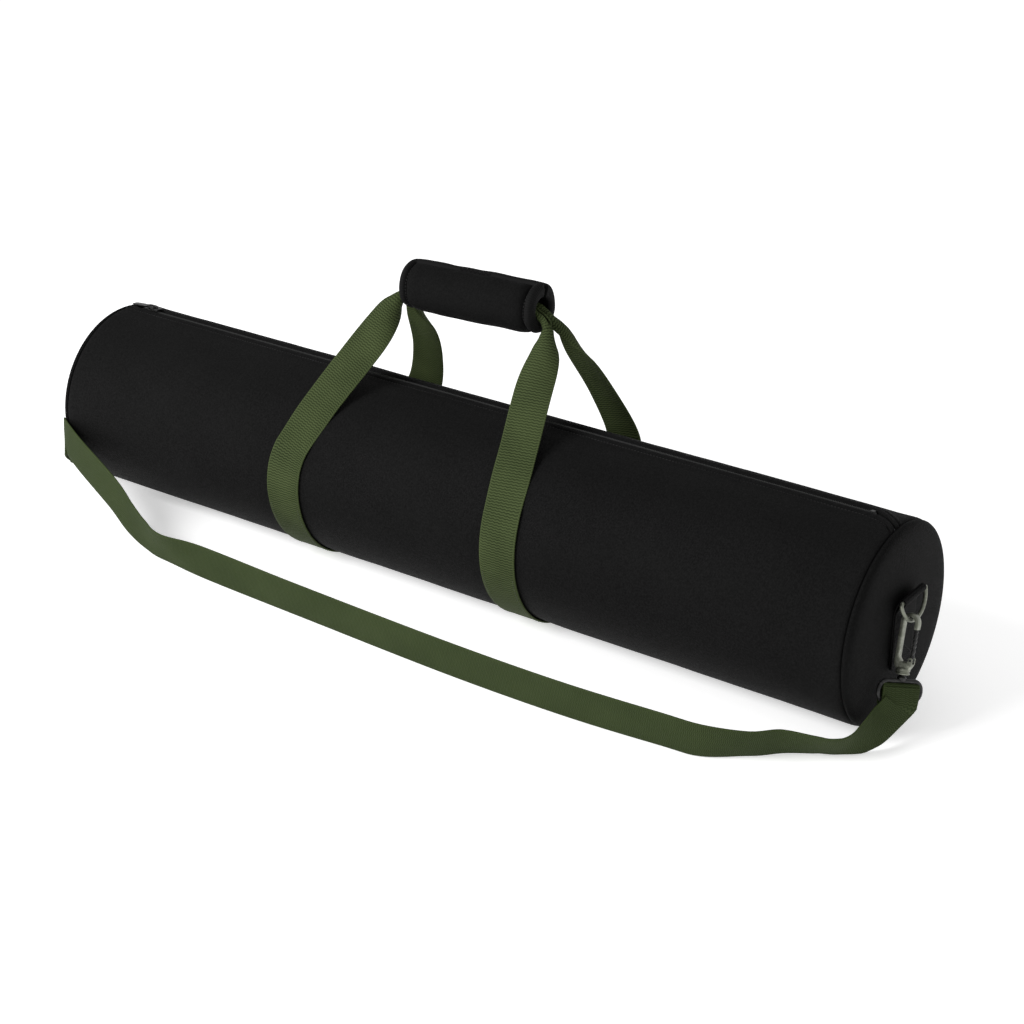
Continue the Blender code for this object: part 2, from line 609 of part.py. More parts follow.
def make_hook(side):
    """Snap hook: body with the eye over the D-ring, a gate on a pin, and the swivel loop below."""
    frame = hook_frame(side)
    body = plate(f"hook_body_{side}", frame, hook_outline(), HOOK_WIDTH, GUNMETAL)
    gate_line = (HOOK_EYE + HOOK_OUTER) / 2
    pivot_down = HOOK_BASE_TOP - 0.0022
    ear_out = HOOK_WIDTH / 2 + 0.0003
    for number, low, high in ((1, -ear_out, -EAR_IN), (2, EAR_IN, ear_out)):
        ear = block(f"hook_ear_{number}_{side}", frame, (HOOK_EYE - 0.0002, low, pivot_down - 0.0018),
                    (HOOK_OUTER - 0.0002, high, HOOK_BASE_TOP + 0.0013), GUNMETAL)
        boolean(body, ear, "UNION")
    hole = rod(f"stem_hole_{side}", frame @ Vector((0, 0, HOOK_BASE_TOP - 0.002)),
               frame @ Vector((0, 0, HOOK_BASE_END + 0.002)), STEM_RADIUS + 0.0005, GUNMETAL, CUTTERS)
    boolean(body, hole, "DIFFERENCE")
    pin_hole = rod(f"pin_hole_{side}", frame @ Vector((gate_line, -0.006, pivot_down)),
                   frame @ Vector((gate_line, 0.006, pivot_down)), PIN_HOLE, GUNMETAL, CUTTERS, 10)
    boolean(body, pin_hole, "DIFFERENCE")
    rod(f"gate_pin_{side}", frame @ Vector((gate_line, -HOOK_WIDTH / 2, pivot_down)),
        frame @ Vector((gate_line, HOOK_WIDTH / 2, pivot_down)), PIN_RADIUS, BLACK_METAL, sides=10)
    rounding = (HOOK_OUTER - HOOK_EYE) / 2 - 0.0002
    bottom = [(gate_line + rounding * math.cos(angle), pivot_down + rounding * math.sin(angle))
              for angle in map(math.radians, range(0, 181, 30))]
    top = [(gate_line - rounding, GATE_TIP), (gate_line + rounding, GATE_TIP)]
    gate = plate(f"hook_gate_{side}", frame, bottom + top, GATE_WIDTH, BLACK_METAL)
    gate_hole = rod(f"gate_hole_{side}", frame @ Vector((gate_line, -0.004, pivot_down)),
                    frame @ Vector((gate_line, 0.004, pivot_down)), PIN_HOLE, BLACK_METAL, CUTTERS, 10)
    boolean(gate, gate_hole, "DIFFERENCE")
    parent_to(gate, empty(f"gate_axis_{side}", frame @ Vector((gate_line, 0.0, pivot_down))))


def make_swivel_loop(side):
    """Round-cornered wire loop for the webbing, with a headed stem that turns in the hook's base."""
    turned_frame = loop_frame(side)
    corner = 0.0075
    points = []
    for sx, sz, start in ((1, 1, 0), (-1, 1, 90), (-1, -1, 180), (1, -1, 270)):
        centre_w = sx * (LOOP_HALF_WIDTH - corner)
        centre_d = (LOOP_TOP + LOOP_BOTTOM) / 2 + sz * ((LOOP_BOTTOM - LOOP_TOP) / 2 - corner)
        for a in range(start, start + 91, 30):
            angle = math.radians(a)
            points.append((0.0, centre_w + corner * math.cos(angle), centre_d + corner * math.sin(angle)))
    loop = as_mesh(tube(f"swivel_loop_{side}", [turned_frame @ Vector(p) for p in points],
                        LOOP_WIRE, BLACK_METAL, closed=True))
    head = HOOK_BASE_TOP - GAP
    stem = rod(f"stem_{side}", turned_frame @ Vector((0, 0, head - 0.001)),
               turned_frame @ Vector((0, 0, LOOP_TOP)), STEM_RADIUS, BLACK_METAL, CUTTERS)
    cap = rod(f"stem_head_{side}", turned_frame @ Vector((0, 0, head - 0.0018)),
              turned_frame @ Vector((0, 0, head)), STEM_RADIUS + 0.0014, BLACK_METAL, CUTTERS)
    boolean(loop, stem, "UNION")
    boolean(loop, cap, "UNION")


def strap_end(side):
    """Lower and upper edge of the webbing where it lies outside the loop's lower bar."""
    frame = loop_frame(side)
    low = -WEB / 2 if side == "right" else WEB / 2
    clear = LOOP_WIRE + GAP + WEB_THICK / 2 + 0.0003
    return [(frame @ Vector((clear, low, down)), frame @ Vector((clear, -low, down)))
            for down in (LOOP_TOP + 0.008, LOOP_BOTTOM + 0.002)]


def make_shoulder_strap():
    """Loose webbing on its edge along the floor in front of the case, from hook to hook."""
    edges = strap_end("right") + STRAP_EDGES + strap_end("left")[::-1]
    read = smooth([(*low, *high) for low, high in edges], 0.013)
    centres, sides = [], []
    for place in read:
        low, high = Vector(place[:3]), Vector(place[3:])
        centres.append((low + high) / 2)
        sides.append(high - low)
    count = len(centres)
    ribbon("shoulder_strap", centres, sides, [WEB - 0.001] * count, [WEB_THICK] * count, WEBBING)


make_tube()
make_zip()
make_bands()
make_handle()
make_shoulder_strap()
for end in ("left", "right"):
    make_end(end)
    make_tab(end)
    make_d_ring(end)
    make_hook(end)
    make_swivel_loop(end)
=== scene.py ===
"""Looks of the padded telescope carry case: a black woven tube with a full-length zip, olive webbing
handles under a padded grip, and an olive shoulder strap clipped to a ring on each end.

Everything is in metres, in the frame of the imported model.
"""

import math

import bmesh
import bpy
import numpy as np
from mathutils import Matrix, Vector, noise


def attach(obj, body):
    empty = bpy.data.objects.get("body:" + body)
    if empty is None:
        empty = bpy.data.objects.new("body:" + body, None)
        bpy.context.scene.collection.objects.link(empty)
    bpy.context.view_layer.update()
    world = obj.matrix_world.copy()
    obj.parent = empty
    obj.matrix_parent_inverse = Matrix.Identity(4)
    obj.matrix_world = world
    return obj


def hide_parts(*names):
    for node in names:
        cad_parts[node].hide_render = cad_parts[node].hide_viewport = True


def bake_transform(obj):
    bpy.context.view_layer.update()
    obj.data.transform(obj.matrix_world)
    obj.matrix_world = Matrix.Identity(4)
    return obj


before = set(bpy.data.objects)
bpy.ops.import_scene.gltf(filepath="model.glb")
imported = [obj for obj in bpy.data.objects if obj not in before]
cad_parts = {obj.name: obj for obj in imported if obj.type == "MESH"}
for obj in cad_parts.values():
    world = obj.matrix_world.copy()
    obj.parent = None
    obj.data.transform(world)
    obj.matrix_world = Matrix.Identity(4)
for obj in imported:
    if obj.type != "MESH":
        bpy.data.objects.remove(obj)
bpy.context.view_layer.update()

SCENE = bpy.context.scene
SIDES = ("left", "right")

# Camera and light
LENS = 78.06
CAMERA_PLACE = (1.117, -1.498, 0.968)
CAMERA_TURN = (90 - 25.65, 0.0, 35.49)
KEY_PLACE = Vector((-0.80, -1.85, 1.40))
KEY_TARGET = Vector((0.0, 0.0, 0.08))
KEY_SIZE = 1.2
KEY_POWER = 52.0
WORLD_POWER = 0.58
FLOOR_ALBEDO = 0.93
FLOOR_GLOW = 0.46
# Tube
RADIUS = 0.090
AXIS_Z = 0.090
SEAM_X = 0.435
SKIN = 0.0012
FLAT_Z = 0.0010
FLAT_SOFTNESS = 0.0020
# Zip line
ZIP_ANGLE = 82.0
ZIP_START = -0.420
ZIP_END = 0.408
SLIDER_X = -0.403
PULL_HEIGHT = 0.0045
PULL_SLOPE = -4.5
ZIP_HALF = 2.9
ZIP_TURN_X = 0.400
TAPE_RADIUS = 0.0883
# Webbing
WEB = 0.038
WEB_THICK = 0.0016
BAND_X = {"left": -0.1495, "right": 0.0973}
STRAP_RADIUS = 0.0912
# Grip
GRIP_CENTRE = Vector((-0.005, 0.020, 0.2775))
GRIP_TILT = math.radians(2.4)
GRIP_HALF = 0.074
GRIP_RADIUS = 0.0225
GRIP_HOLLOW = 0.0145
FLAP_HINGE = -40.0
FLAP_EDGE = 68.0
# End hardware
RING_BAR = Vector((0.4515, 0.0, 0.1215))
RING_APEX = Vector((0.4560, 0.0, 0.1015))
RING_HALF_WIDTH = 0.022
RING_WIRE = 0.00175
HOOK_AXIS = {"right": (0.075, -0.36, -0.93), "left": (-0.09, -0.50, -0.86)}
LOOP_TURN = {"right": 30.0, "left": -20.0}
HOOK_WIDTH = 0.0070
HOOK_EYE = 0.0045
EYE_HEIGHT = 0.0016
HOOK_OUTER = 0.0078
HOOK_BASE_TOP = 0.0345
GATE_TIP = 0.0075
LOOP_TOP = 0.0505
LOOP_BOTTOM = 0.0680
LOOP_HALF_WIDTH = 0.0215
LOOP_WIRE = 0.0019
FOLD_RISE = {"right": 0.0146, "left": 0.0036}

# Shoulder strap: lower and upper edge of the webbing between the loops, from right to left
STRAP_EDGES = [
    ((0.4635, -0.0335, 0.0150), (0.4505, -0.0590, 0.0395)),
    ((0.4560, -0.0480, 0.0065), (0.4490, -0.0730, 0.0345)),
    ((0.4475, -0.0600, 0.0020), (0.4460, -0.0862, 0.0295)),
    ((0.4380, -0.0700, 0.0012), (0.4410, -0.0960, 0.0275)),
    ((0.4280, -0.0790, 0.0010), (0.4330, -0.1040, 0.0285)),
    ((0.4170, -0.0870, 0.0010), (0.4230, -0.1090, 0.0305)),
    ((0.3950, -0.1020, 0.0010), (0.4000, -0.1200, 0.0335)),
    ((0.3740, -0.1220, 0.0010), (0.3800, -0.1390, 0.0345)),
    ((0.3420, -0.1450, 0.0010), (0.3470, -0.1540, 0.0370)),
    ((0.3060, -0.1500, 0.0010), (0.3090, -0.1580, 0.0378)),
    ((0.2110, -0.1570, 0.0010), (0.2120, -0.1640, 0.0380)),
    ((0.0840, -0.1580, 0.0010), (0.0850, -0.1640, 0.0382)),
    ((-0.0820, -0.1520, 0.0010), (-0.0800, -0.1580, 0.0382)),
    ((-0.2040, -0.1460, 0.0010), (-0.1990, -0.1510, 0.0380)),
    ((-0.2580, -0.1400, 0.0015), (-0.2500, -0.1530, 0.0365)),
    ((-0.2950, -0.1325, 0.0035), (-0.2800, -0.1420, 0.0368)),
    ((-0.3250, -0.1260, 0.0095), (-0.3100, -0.1300, 0.0445)),
    ((-0.3550, -0.1180, 0.0235), (-0.3405, -0.1200, 0.0588)),
    ((-0.4150, -0.1010, 0.0430), (-0.4045, -0.1030, 0.0795)),
    ((-0.4425, -0.0885, 0.0500), (-0.4360, -0.0915, 0.0873)),
    ((-0.4560, -0.0680, 0.0345), (-0.4505, -0.0785, 0.0690)),
    ((-0.4645, -0.0500, 0.0270), (-0.4560, -0.0700, 0.0590)),
]


# ---- camera, light and floor

def stand(name, data):
    """A new object in the scene."""
    made = bpy.data.objects.new(name, data)
    SCENE.collection.objects.link(made)
    return made


def place_camera():
    camera = bpy.data.cameras.new("camera")
    camera.lens = LENS
    camera.sensor_width = 36.0
    SCENE.camera = stand("camera", camera)
    SCENE.camera.location = CAMERA_PLACE
    SCENE.camera.rotation_euler = [math.radians(angle) for angle in CAMERA_TURN]


def light_studio():
    """A white world, one soft key from the front left and a pale floor that glows a little."""
    SCENE.world = bpy.data.worlds.new("studio")
    SCENE.world.use_nodes = True
    background = SCENE.world.node_tree.nodes["Background"]
    background.inputs["Color"].default_value = (1.0, 1.0, 1.0, 1.0)
    background.inputs["Strength"].default_value = WORLD_POWER
    light = bpy.data.lights.new("key", "AREA")
    light.shape = "DISK"
    light.size = KEY_SIZE
    light.energy = KEY_POWER
    key = stand("key", light)
    key.location = KEY_PLACE
    key.rotation_euler = (KEY_TARGET - KEY_PLACE).to_track_quat("-Z", "Y").to_euler()
    SCENE.view_settings.view_transform = "Standard"
    bpy.ops.mesh.primitive_plane_add(size=24.0, location=(0.0, 4.0, -0.0002))
    floor = bpy.context.object
    floor.name = "floor"
    finish = Graph("floor", grey(FLOOR_ALBEDO), 0.6, specular=0.0)
    finish.shader.inputs["Emission Color"].default_value = (1.0, 1.0, 1.0, 1.0)
    finish.shader.inputs["Emission Strength"].default_value = FLOOR_GLOW
    floor.data.materials.append(finish.material)


# ---- materials

class Graph:
    """Short ways to add nodes to one material."""

    def __init__(self, name, colour, roughness, metallic=0.0, sheen=0.0, specular=0.5):
        self.material = bpy.data.materials.new(name)
        self.material.use_nodes = True
        self.tree = self.material.node_tree
        self.shader = self.tree.nodes["Principled BSDF"]
        self.shader.inputs["Base Color"].default_value = (*colour, 1.0)
        self.shader.inputs["Roughness"].default_value = roughness
        self.shader.inputs["Metallic"].default_value = metallic
        self.shader.inputs["Specular IOR Level"].default_value = specular
        self.shader.inputs["Sheen Weight"].default_value = sheen
        self.shader.inputs["Sheen Roughness"].default_value = 0.45
        self.coordinates = self.tree.nodes.new("ShaderNodeTexCoord")

    def put(self, socket, value):
        if isinstance(value, bpy.types.NodeSocket):
            self.tree.links.new(value, socket)
        else:
            socket.default_value = value

    def math(self, operation, a, b=0.0, c=0.0):
        node = self.tree.nodes.new("ShaderNodeMath")
        node.operation = operation
        for socket, value in zip(node.inputs, (a, b, c)):
            self.put(socket, value)
        return node.outputs[0]

    def uv(self):
        """Across and along the cloth, in metres."""
        node = self.tree.nodes.new("ShaderNodeSeparateXYZ")
        self.tree.links.new(self.coordinates.outputs["UV"], node.inputs[0])
        return node.outputs[0], node.outputs[1]

    def noise(self, scale, detail=3.0, where="Object"):
        node = self.tree.nodes.new("ShaderNodeTexNoise")
        self.tree.links.new(self.coordinates.outputs[where], node.inputs["Vector"])
        node.inputs["Scale"].default_value = scale
        node.inputs["Detail"].default_value = detail
        return node.outputs[0]

    def ramp(self, value, low, high, start, end):
        """Maps value from low..high to start..end."""
        node = self.tree.nodes.new("ShaderNodeMapRange")
        self.put(node.inputs["Value"], value)
        for name, number in (("From Min", low), ("From Max", high), ("To Min", start), ("To Max", end)):
            node.inputs[name].default_value = number
        return node.outputs[0]

    def colour(self, factor, first, second):
        """Base colour between two colours."""
        node = self.tree.nodes.new("ShaderNodeMix")
        node.data_type = "RGBA"
        self.put(node.inputs["Factor"], factor)
        for socket, colour in ((node.inputs["A"], first), (node.inputs["B"], second)):
            socket.default_value = (*colour, 1.0)
        self.tree.links.new(node.outputs["Result"], self.shader.inputs["Base Color"])

    def rough(self, value, low, high, start, end):
        self.tree.links.new(self.ramp(value, low, high, start, end), self.shader.inputs["Roughness"])

    def bump(self, height, distance, strength=1.0):
        node = self.tree.nodes.new("ShaderNodeBump")
        node.inputs["Distance"].default_value = distance
        node.inputs["Strength"].default_value = strength
        self.tree.links.new(height, node.inputs["Height"])
        self.tree.links.new(node.outputs[0], self.shader.inputs["Normal"])


def grey(shade):
    return (shade, shade, shade)


def wave(graph, value, period):
    """0 to 1 and back over each period."""
    turned = graph.math("SINE", graph.math("MULTIPLY", value, 2 * math.pi / period))
    return graph.math("MULTIPLY_ADD", turned, 0.5, 0.5)


def woven_nylon(name, dark, light, thread, sheen=0.0):
    """Plain-woven cloth: threads over and under each other, with slubs and a little dust."""
    graph = Graph(name, dark, 0.6, sheen=sheen, specular=0.09)
    across, along = graph.uv()
    turns = [graph.math("SINE", graph.math("MULTIPLY", value, math.pi / thread)) for value in (across, along)]
    checks = graph.math("GREATER_THAN", graph.math("MULTIPLY", *turns), 0.0)
    over = graph.math("MULTIPLY", wave(graph, across, thread), checks)
    under = graph.math("MULTIPLY", wave(graph, along, thread), graph.math("SUBTRACT", 1.0, checks))
    cloth = graph.math("ADD", over, under)
    slubs = graph.ramp(graph.noise(620.0, 3.0), 0.36, 0.64, 0.0, 1.0)
    patches = graph.ramp(graph.noise(14.0, 4.0), 0.35, 0.65, 0.0, 1.0)
    grain = graph.math("MULTIPLY_ADD", cloth, 0.45, graph.math("MULTIPLY", slubs, 0.4))
    graph.colour(graph.math("MULTIPLY_ADD", patches, 0.18, grain), dark, light)
    graph.rough(grain, 0.0, 1.0, 0.88, 0.64)
    graph.bump(grain, 0.0004, 0.8)
    return graph.material


def ribbed_webbing(name, dark, light, rib):
    """Heavy webbing: ribs that wander a little across it, a slanted twill on them and a firm selvage."""
    graph = Graph(name, dark, 0.7, specular=0.10)
    across, along = graph.uv()
    zigzag = graph.math("PINGPONG", across, 0.0024)
    wander = graph.math("MULTIPLY", graph.noise(60.0, 2.0), 0.0010)
    line = graph.math("ADD", graph.math("MULTIPLY_ADD", zigzag, 0.35, along), wander)
    ribs = graph.math("POWER", wave(graph, line, rib), 0.7)
    twill = wave(graph, graph.math("ADD", across, graph.math("MULTIPLY", along, 0.5)), 0.0011)
    edge = graph.math("GREATER_THAN", graph.math("ABSOLUTE", across), WEB / 2 - 0.0016)
    body = graph.math("MULTIPLY_ADD", twill, 0.22, graph.math("MULTIPLY", ribs, 0.62))
    selvage = graph.math("MULTIPLY_ADD", wave(graph, along, 0.0022), 0.35, 0.40)
    blend = graph.tree.nodes.new("ShaderNodeMix")
    for place, value in ((0, edge), (2, body), (3, selvage)):
        graph.put(blend.inputs[place], value)
    height = blend.outputs[0]
    fuzz = graph.noise(500.0, 3.0)
    patches = graph.ramp(graph.noise(22.0, 3.0), 0.3, 0.7, -0.08, 0.14)
    graph.colour(graph.math("ADD", graph.math("MULTIPLY_ADD", fuzz, 0.16, height), patches), dark, light)
    graph.rough(height, 0.0, 1.0, 0.88, 0.62)
    graph.bump(graph.math("MULTIPLY_ADD", fuzz, 0.12, height), 0.0007, 0.9)
    return graph.material


def padding_foam(name, colour):
    graph = Graph(name, colour, 0.95)
    cells = graph.noise(700.0, 2.0)
    graph.colour(cells, tuple(c * 0.7 for c in colour), tuple(c * 1.2 for c in colour))
    graph.bump(cells, 0.0003)
    return graph.material


def worn_metal(name, dark, worn, roughness, metallic=0.0):
    """Plated or painted metal, or hard thread, with fine scratches and paler rubbed spots."""
    graph = Graph(name, dark, roughness, metallic=metallic)
    scratches = graph.noise(1400.0, 2.0)
    graph.colour(graph.ramp(graph.noise(260.0, 4.0), 0.50, 0.72, 0.0, 1.0), dark, worn)
    graph.rough(scratches, 0.3, 0.7, roughness - 0.08, roughness + 0.14)
    graph.bump(scratches, 0.00004, 0.6)
    return graph.material


NYLON = woven_nylon("black_nylon", grey(0.0006), grey(0.0056), 0.0009)
# The end panels get a darker copy of the black nylon: painted shade, because the ends face away from the key
# light.
SHADED_END_NYLON = woven_nylon("end_nylon_painted_shade", grey(0.0005), grey(0.0034), 0.0009)
GRIP_CLOTH = woven_nylon("grip_cloth", grey(0.0007), grey(0.0044), 0.0007)
BINDING = ribbed_webbing("binding", grey(0.0012), grey(0.0060), 0.0012)
OLIVE = ribbed_webbing("olive_webbing", (0.0030, 0.0070, 0.0008), (0.0600, 0.0800, 0.0290), 0.0025)
STRAP_OLIVE = ribbed_webbing("strap_webbing", (0.0120, 0.0210, 0.0045), (0.0410, 0.0570, 0.0195), 0.0016)
BLACK_WEB = ribbed_webbing("black_webbing", grey(0.0010), grey(0.0060), 0.0020)
TAPE = woven_nylon("zip_tape", grey(0.0014), grey(0.0050), 0.0006)
COIL = worn_metal("zip_coil", grey(0.010), grey(0.020), 0.38)
THREAD = worn_metal("black_thread", grey(0.003), grey(0.008), 0.75)
OLIVE_THREAD = worn_metal("olive_thread", (0.030, 0.040, 0.016), (0.060, 0.078, 0.034), 0.60)
GUNMETAL = worn_metal("gunmetal", (0.19, 0.20, 0.16), (0.34, 0.35, 0.29), 0.36, 0.8)
BLACK_METAL = worn_metal("black_metal", grey(0.012), (0.050, 0.050, 0.048), 0.36, 0.4)
FOAM = padding_foam("grey_foam", (0.10, 0.10, 0.11))
LINING = woven_nylon("black_lining", (0.012, 0.012, 0.013), (0.030, 0.030, 0.032), 0.0008, 0.05)


# ---- mesh helpers

def fix_normals(made):
    bm = bmesh.new()
    bm.from_mesh(made.data)
    bmesh.ops.recalc_face_normals(bm, faces=bm.faces)
    bm.to_mesh(made.data)
    bm.free()


def finish_piece(made, body, nodes=()):
    fix_normals(made)
    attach(made, body)
    if nodes:
        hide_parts(*nodes)
    return made


def add_mesh(name, mesh, material, sharp):
    """An object from a mesh, shaded smooth except at edges over the sharp angle."""
    mesh.materials.append(material)
    mesh.shade_smooth()
    mesh.set_sharp_from_angle(angle=math.radians(sharp))
    return stand(name, mesh)


def mesh_piece(name, points, faces, material, uvs=None, sharp=40.0):
    """A piece from points and faces. uvs has one pair for each corner of each face, in metres."""
    mesh = bpy.data.meshes.new(name)
    mesh.from_pydata([tuple(map(float, p)) for p in points], [], faces)
    if uvs is not None:
        layer = mesh.uv_layers.new(name="UVMap")
        layer.data.foreach_set("uv", np.asarray(uvs, np.float32).ravel())
    return add_mesh(name, mesh, material, sharp)


def face_rows(rows, columns, wrap):
    """Quads of a grid and the grid places of their corners."""
    faces, corners = [], []
    for i in range(rows - 1):
        for j in range(columns if wrap else columns - 1):
            k = (j + 1) % columns
            a, b = i * columns, (i + 1) * columns
            faces.append((a + j, a + k, b + k, b + j))
            corners += [(i, j), (i, j + 1), (i + 1, j + 1), (i + 1, j)]
    return faces, corners


def tube_grid(name, rings, uvs, material, sharp=40.0):
    """A closed sleeve through rings of points, with flat ends. uvs has one column more than rings."""
    rows, columns = len(rings), len(rings[0])
    faces, corners = face_rows(rows, columns, True)
    flat = [uvs[i][j] for i, j in corners]
    faces.append(tuple(reversed(range(columns))))
    faces.append(tuple((rows - 1) * columns + j for j in range(columns)))
    flat += [uvs[0][j] for j in reversed(range(columns))] + [uvs[-1][j] for j in range(columns)]
    points = [p for ring in rings for p in ring]
    return mesh_piece(name, points, faces, material, flat, sharp)


def shell_grid(name, outer, inner, uvs, material, sharp=40.0):
    """A closed sheet between an outer and an inner grid of points."""
    rows, columns = len(outer), len(outer[0])
    count = rows * columns
    top, corners = face_rows(rows, columns, False)
    low = [tuple(count + v for v in reversed(face)) for face in top]
    flat = [uvs[i][j] for i, j in corners]
    back = []
    for k in range(len(top)):
        back += [flat[4 * k + c] for c in (3, 2, 1, 0)]
    border = [(0, j) for j in range(columns)] + [(i, columns - 1) for i in range(1, rows)]
    border += [(rows - 1, j) for j in reversed(range(columns - 1))]
    border += [(i, 0) for i in reversed(range(1, rows - 1))]
    rim, rim_uv = [], []
    for (i, j), (k, m) in zip(border, border[1:] + border[:1]):
        a, b = i * columns + j, k * columns + m
        rim.append((b, a, count + a, count + b))
        rim_uv += [uvs[k][m], uvs[i][j], uvs[i][j], uvs[k][m]]
    points = [p for row in outer for p in row] + [p for row in inner for p in row]
    return mesh_piece(name, points, top + low + rim, material, flat + back + rim_uv, sharp)


def smooth(points, spacing, closed=False):
    """Points read from a Catmull-Rom curve through the given ones. Any length of vector."""
    last = len(points) - 1
    found = []
    for i in range(last + closed):
        if closed:
            four = [points[(i + k) % (last + 1)] for k in (-1, 0, 1, 2)]
        else:
            four = [points[min(max(i + k, 0), last)] for k in (-1, 0, 1, 2)]
        steps = max(1, round((Vector(four[2][:3]) - Vector(four[1][:3])).length / spacing))
        for k in range(steps):
            t = k / steps
            found.append(tuple(
                0.5 * (2 * b + (c - a) * t + (2 * a - 5 * b + 4 * c - d) * t * t
                       + (3 * b - a - 3 * c + d) * t ** 3)
                for a, b, c, d in zip(*four)))
    if not closed:
        found.append(tuple(points[-1]))
    return found


def section(width, thick, curl, inner):
    """Outline of a webbing's cross-section as (side, lift, across), rolled up by curl radians each way."""
    half = width / 2
    edge = thick / 2
    places = [(-1.0, 0.0), (-1.0 + 0.35 * edge / half, 0.75), (-1.0 + edge / half, 1.0)]
    inside = 1.0 - edge / half
    places += [(inside * k / 5, 1.0) for k in range(-4, 5)]
    places += [(inside, 1.0), (1.0 - 0.35 * edge / half, 0.75), (1.0, 0.0)]
    places += [(w, -t) for w, t in reversed(places[1:-1])]
    outline = []
    for w, t in places:
        turn = curl * w
        if curl > 1e-4:
            reach = half / curl
            side, drop = reach * math.sin(turn), reach * (1 - math.cos(turn))
            centre = reach * (1 - math.sin(curl) / curl)
        else:
            side, drop, centre = w * half, 0.0, 0.0
        lift = (drop - centre) * inner
        side += math.sin(turn) * -inner * t * edge
        lift += math.cos(turn) * t * edge
        outline.append((side, lift, w * half))
    return outline


def webbing(name, centres, sides, curls, inner, material, width=WEB, thick=WEB_THICK, pinches=None):
    """A strap that follows centres. sides point across it, curls roll it up and pinches bunch it."""
    rings, uvs, along = [], [], 0.0
    for i, centre in enumerate(centres):
        ahead = centres[min(i + 1, len(centres) - 1)]
        behind = centres[max(i - 1, 0)]
        way = (ahead - behind).normalized()
        side = (sides[i] - way * sides[i].dot(way)).normalized()
        up = way.cross(side)
        bunch = pinches[i] if pinches else 1.0
        outline = [(s, t, u / bunch) for s, t, u in section(width * bunch, thick, curls[i], inner)]
        ring = [centre + side * s + up * t for s, t, _ in outline]
        sunk = Vector((0.0, 0.0, min(0.0, min(p.z for p in ring))))
        rings.append([p - sunk for p in ring])
        if i:
            along += (centre - centres[i - 1]).length
        row = [(u, along) for _, _, u in outline]
        uvs.append(row + row[:1])
    return tube_grid(name, rings, uvs, material, 60.0)


def wire(name, points, radius, material, closed=False, sides=14, ridge=0.0, ridges=0.0):
    """A round wire through the points, twisted like a rope where ridge is given."""
    places = [Vector(p) for p in points]
    count = len(places)
    normal = None
    rings, uvs, along = [], [], 0.0
    for i, place in enumerate(places):
        ahead = places[(i + 1) % count] if closed else places[min(i + 1, count - 1)]
        behind = places[i - 1] if closed else places[max(i - 1, 0)]
        way = (ahead - behind).normalized()
        if normal is None:
            normal = way.orthogonal().normalized()
        normal = (normal - way * normal.dot(way)).normalized()
        other = way.cross(normal)
        turns = [2 * math.pi * k / sides for k in range(sides + 1)]
        rings.append([place + (normal * math.cos(t) + other * math.sin(t))
                      * (radius + ridge * math.sin(along * ridges + 2 * t)) for t in turns[:-1]])
        uvs.append([(radius * t, along) for t in turns])
        along += (places[(i + 1) % count] - place).length
    if not closed:
        return tube_grid(name, rings, uvs, material)
    uvs.append([(u, along) for u, _ in uvs[0]])
    faces, flat = [], []
    for i in range(count):
        a, b = i * sides, (i + 1) % count * sides
        for j in range(sides):
            k = (j + 1) % sides
            faces.append((a + j, a + k, b + k, b + j))
            flat += [uvs[i][j], uvs[i][j + 1], uvs[i + 1][j + 1], uvs[i + 1][j]]
    return mesh_piece(name, [p for ring in rings for p in ring], faces, material, flat)


def both_ways(half, flip_x, flip_z):
    """An outline from half of it, mirrored by -1 in x or in z."""
    return half + [(flip_x * x, flip_z * z) for x, z in reversed(half)]


def plate(name, frame_matrix, outline, low, high, bevel, material):
    """A flat outline of (x, z) points of a local frame, from y = low to y = high, with rounded edges."""
    bm = bmesh.new()
    bottom = [bm.verts.new((x, low, z)) for x, z in outline]
    top = [bm.verts.new((x, high, z)) for x, z in outline]
    bm.faces.new(bottom)
    bm.faces.new(list(reversed(top)))
    for i in range(len(outline)):
        bm.faces.new((bottom[i], bottom[i - 1], top[i - 1], top[i]))
    bmesh.ops.recalc_face_normals(bm, faces=bm.faces)
    rims = [e for e in bm.edges if abs(e.verts[0].co.y - e.verts[1].co.y) < 1e-7]
    bmesh.ops.bevel(bm, geom=rims, offset=bevel, segments=3, profile=0.6, affect="EDGES", clamp_overlap=True)
    mesh = bpy.data.meshes.new(name)
    bm.to_mesh(mesh)
    bm.free()
    mesh.transform(frame_matrix)
    return add_mesh(name, mesh, material, 35.0)


def turned(name, frame_matrix, profile, material, sides=32):
    """A profile of (radius, height) points turned about the local Z axis, closed at both ends."""
    turns = [2 * math.pi * k / sides for k in range(sides + 1)]
    rings, uvs, along = [], [], 0.0
    for i, (radius, height) in enumerate(profile):
        if i:
            along += math.dist(profile[i - 1], profile[i])
        rings.append([frame_matrix @ Vector((radius * math.cos(t), radius * math.sin(t), height))
                      for t in turns[:-1]])
        uvs.append([(t * 0.005, along) for t in turns])
    return tube_grid(name, rings, uvs, material, 35.0)


def join(name, pieces):
    """One object from several that share a material."""
    bpy.ops.object.select_all(action="DESELECT")
    for piece in pieces:
        piece.select_set(True)
    bpy.context.view_layer.objects.active = pieces[0]
    bpy.ops.object.join()
    pieces[0].name = name
    return pieces[0]


def add_bead(points, faces, rows):
    """Adds a closed bead through four rows of six points."""
    start = len(points)
    points += [p for row in rows for p in row]
    for a in range(start, start + 18, 6):
        faces += [(a + c, a + (c + 1) % 6, a + 6 + (c + 1) % 6, a + 6 + c) for c in range(6)]
    faces.append(tuple(start + c for c in reversed(range(6))))
    faces.append(tuple(start + 18 + c for c in range(6)))


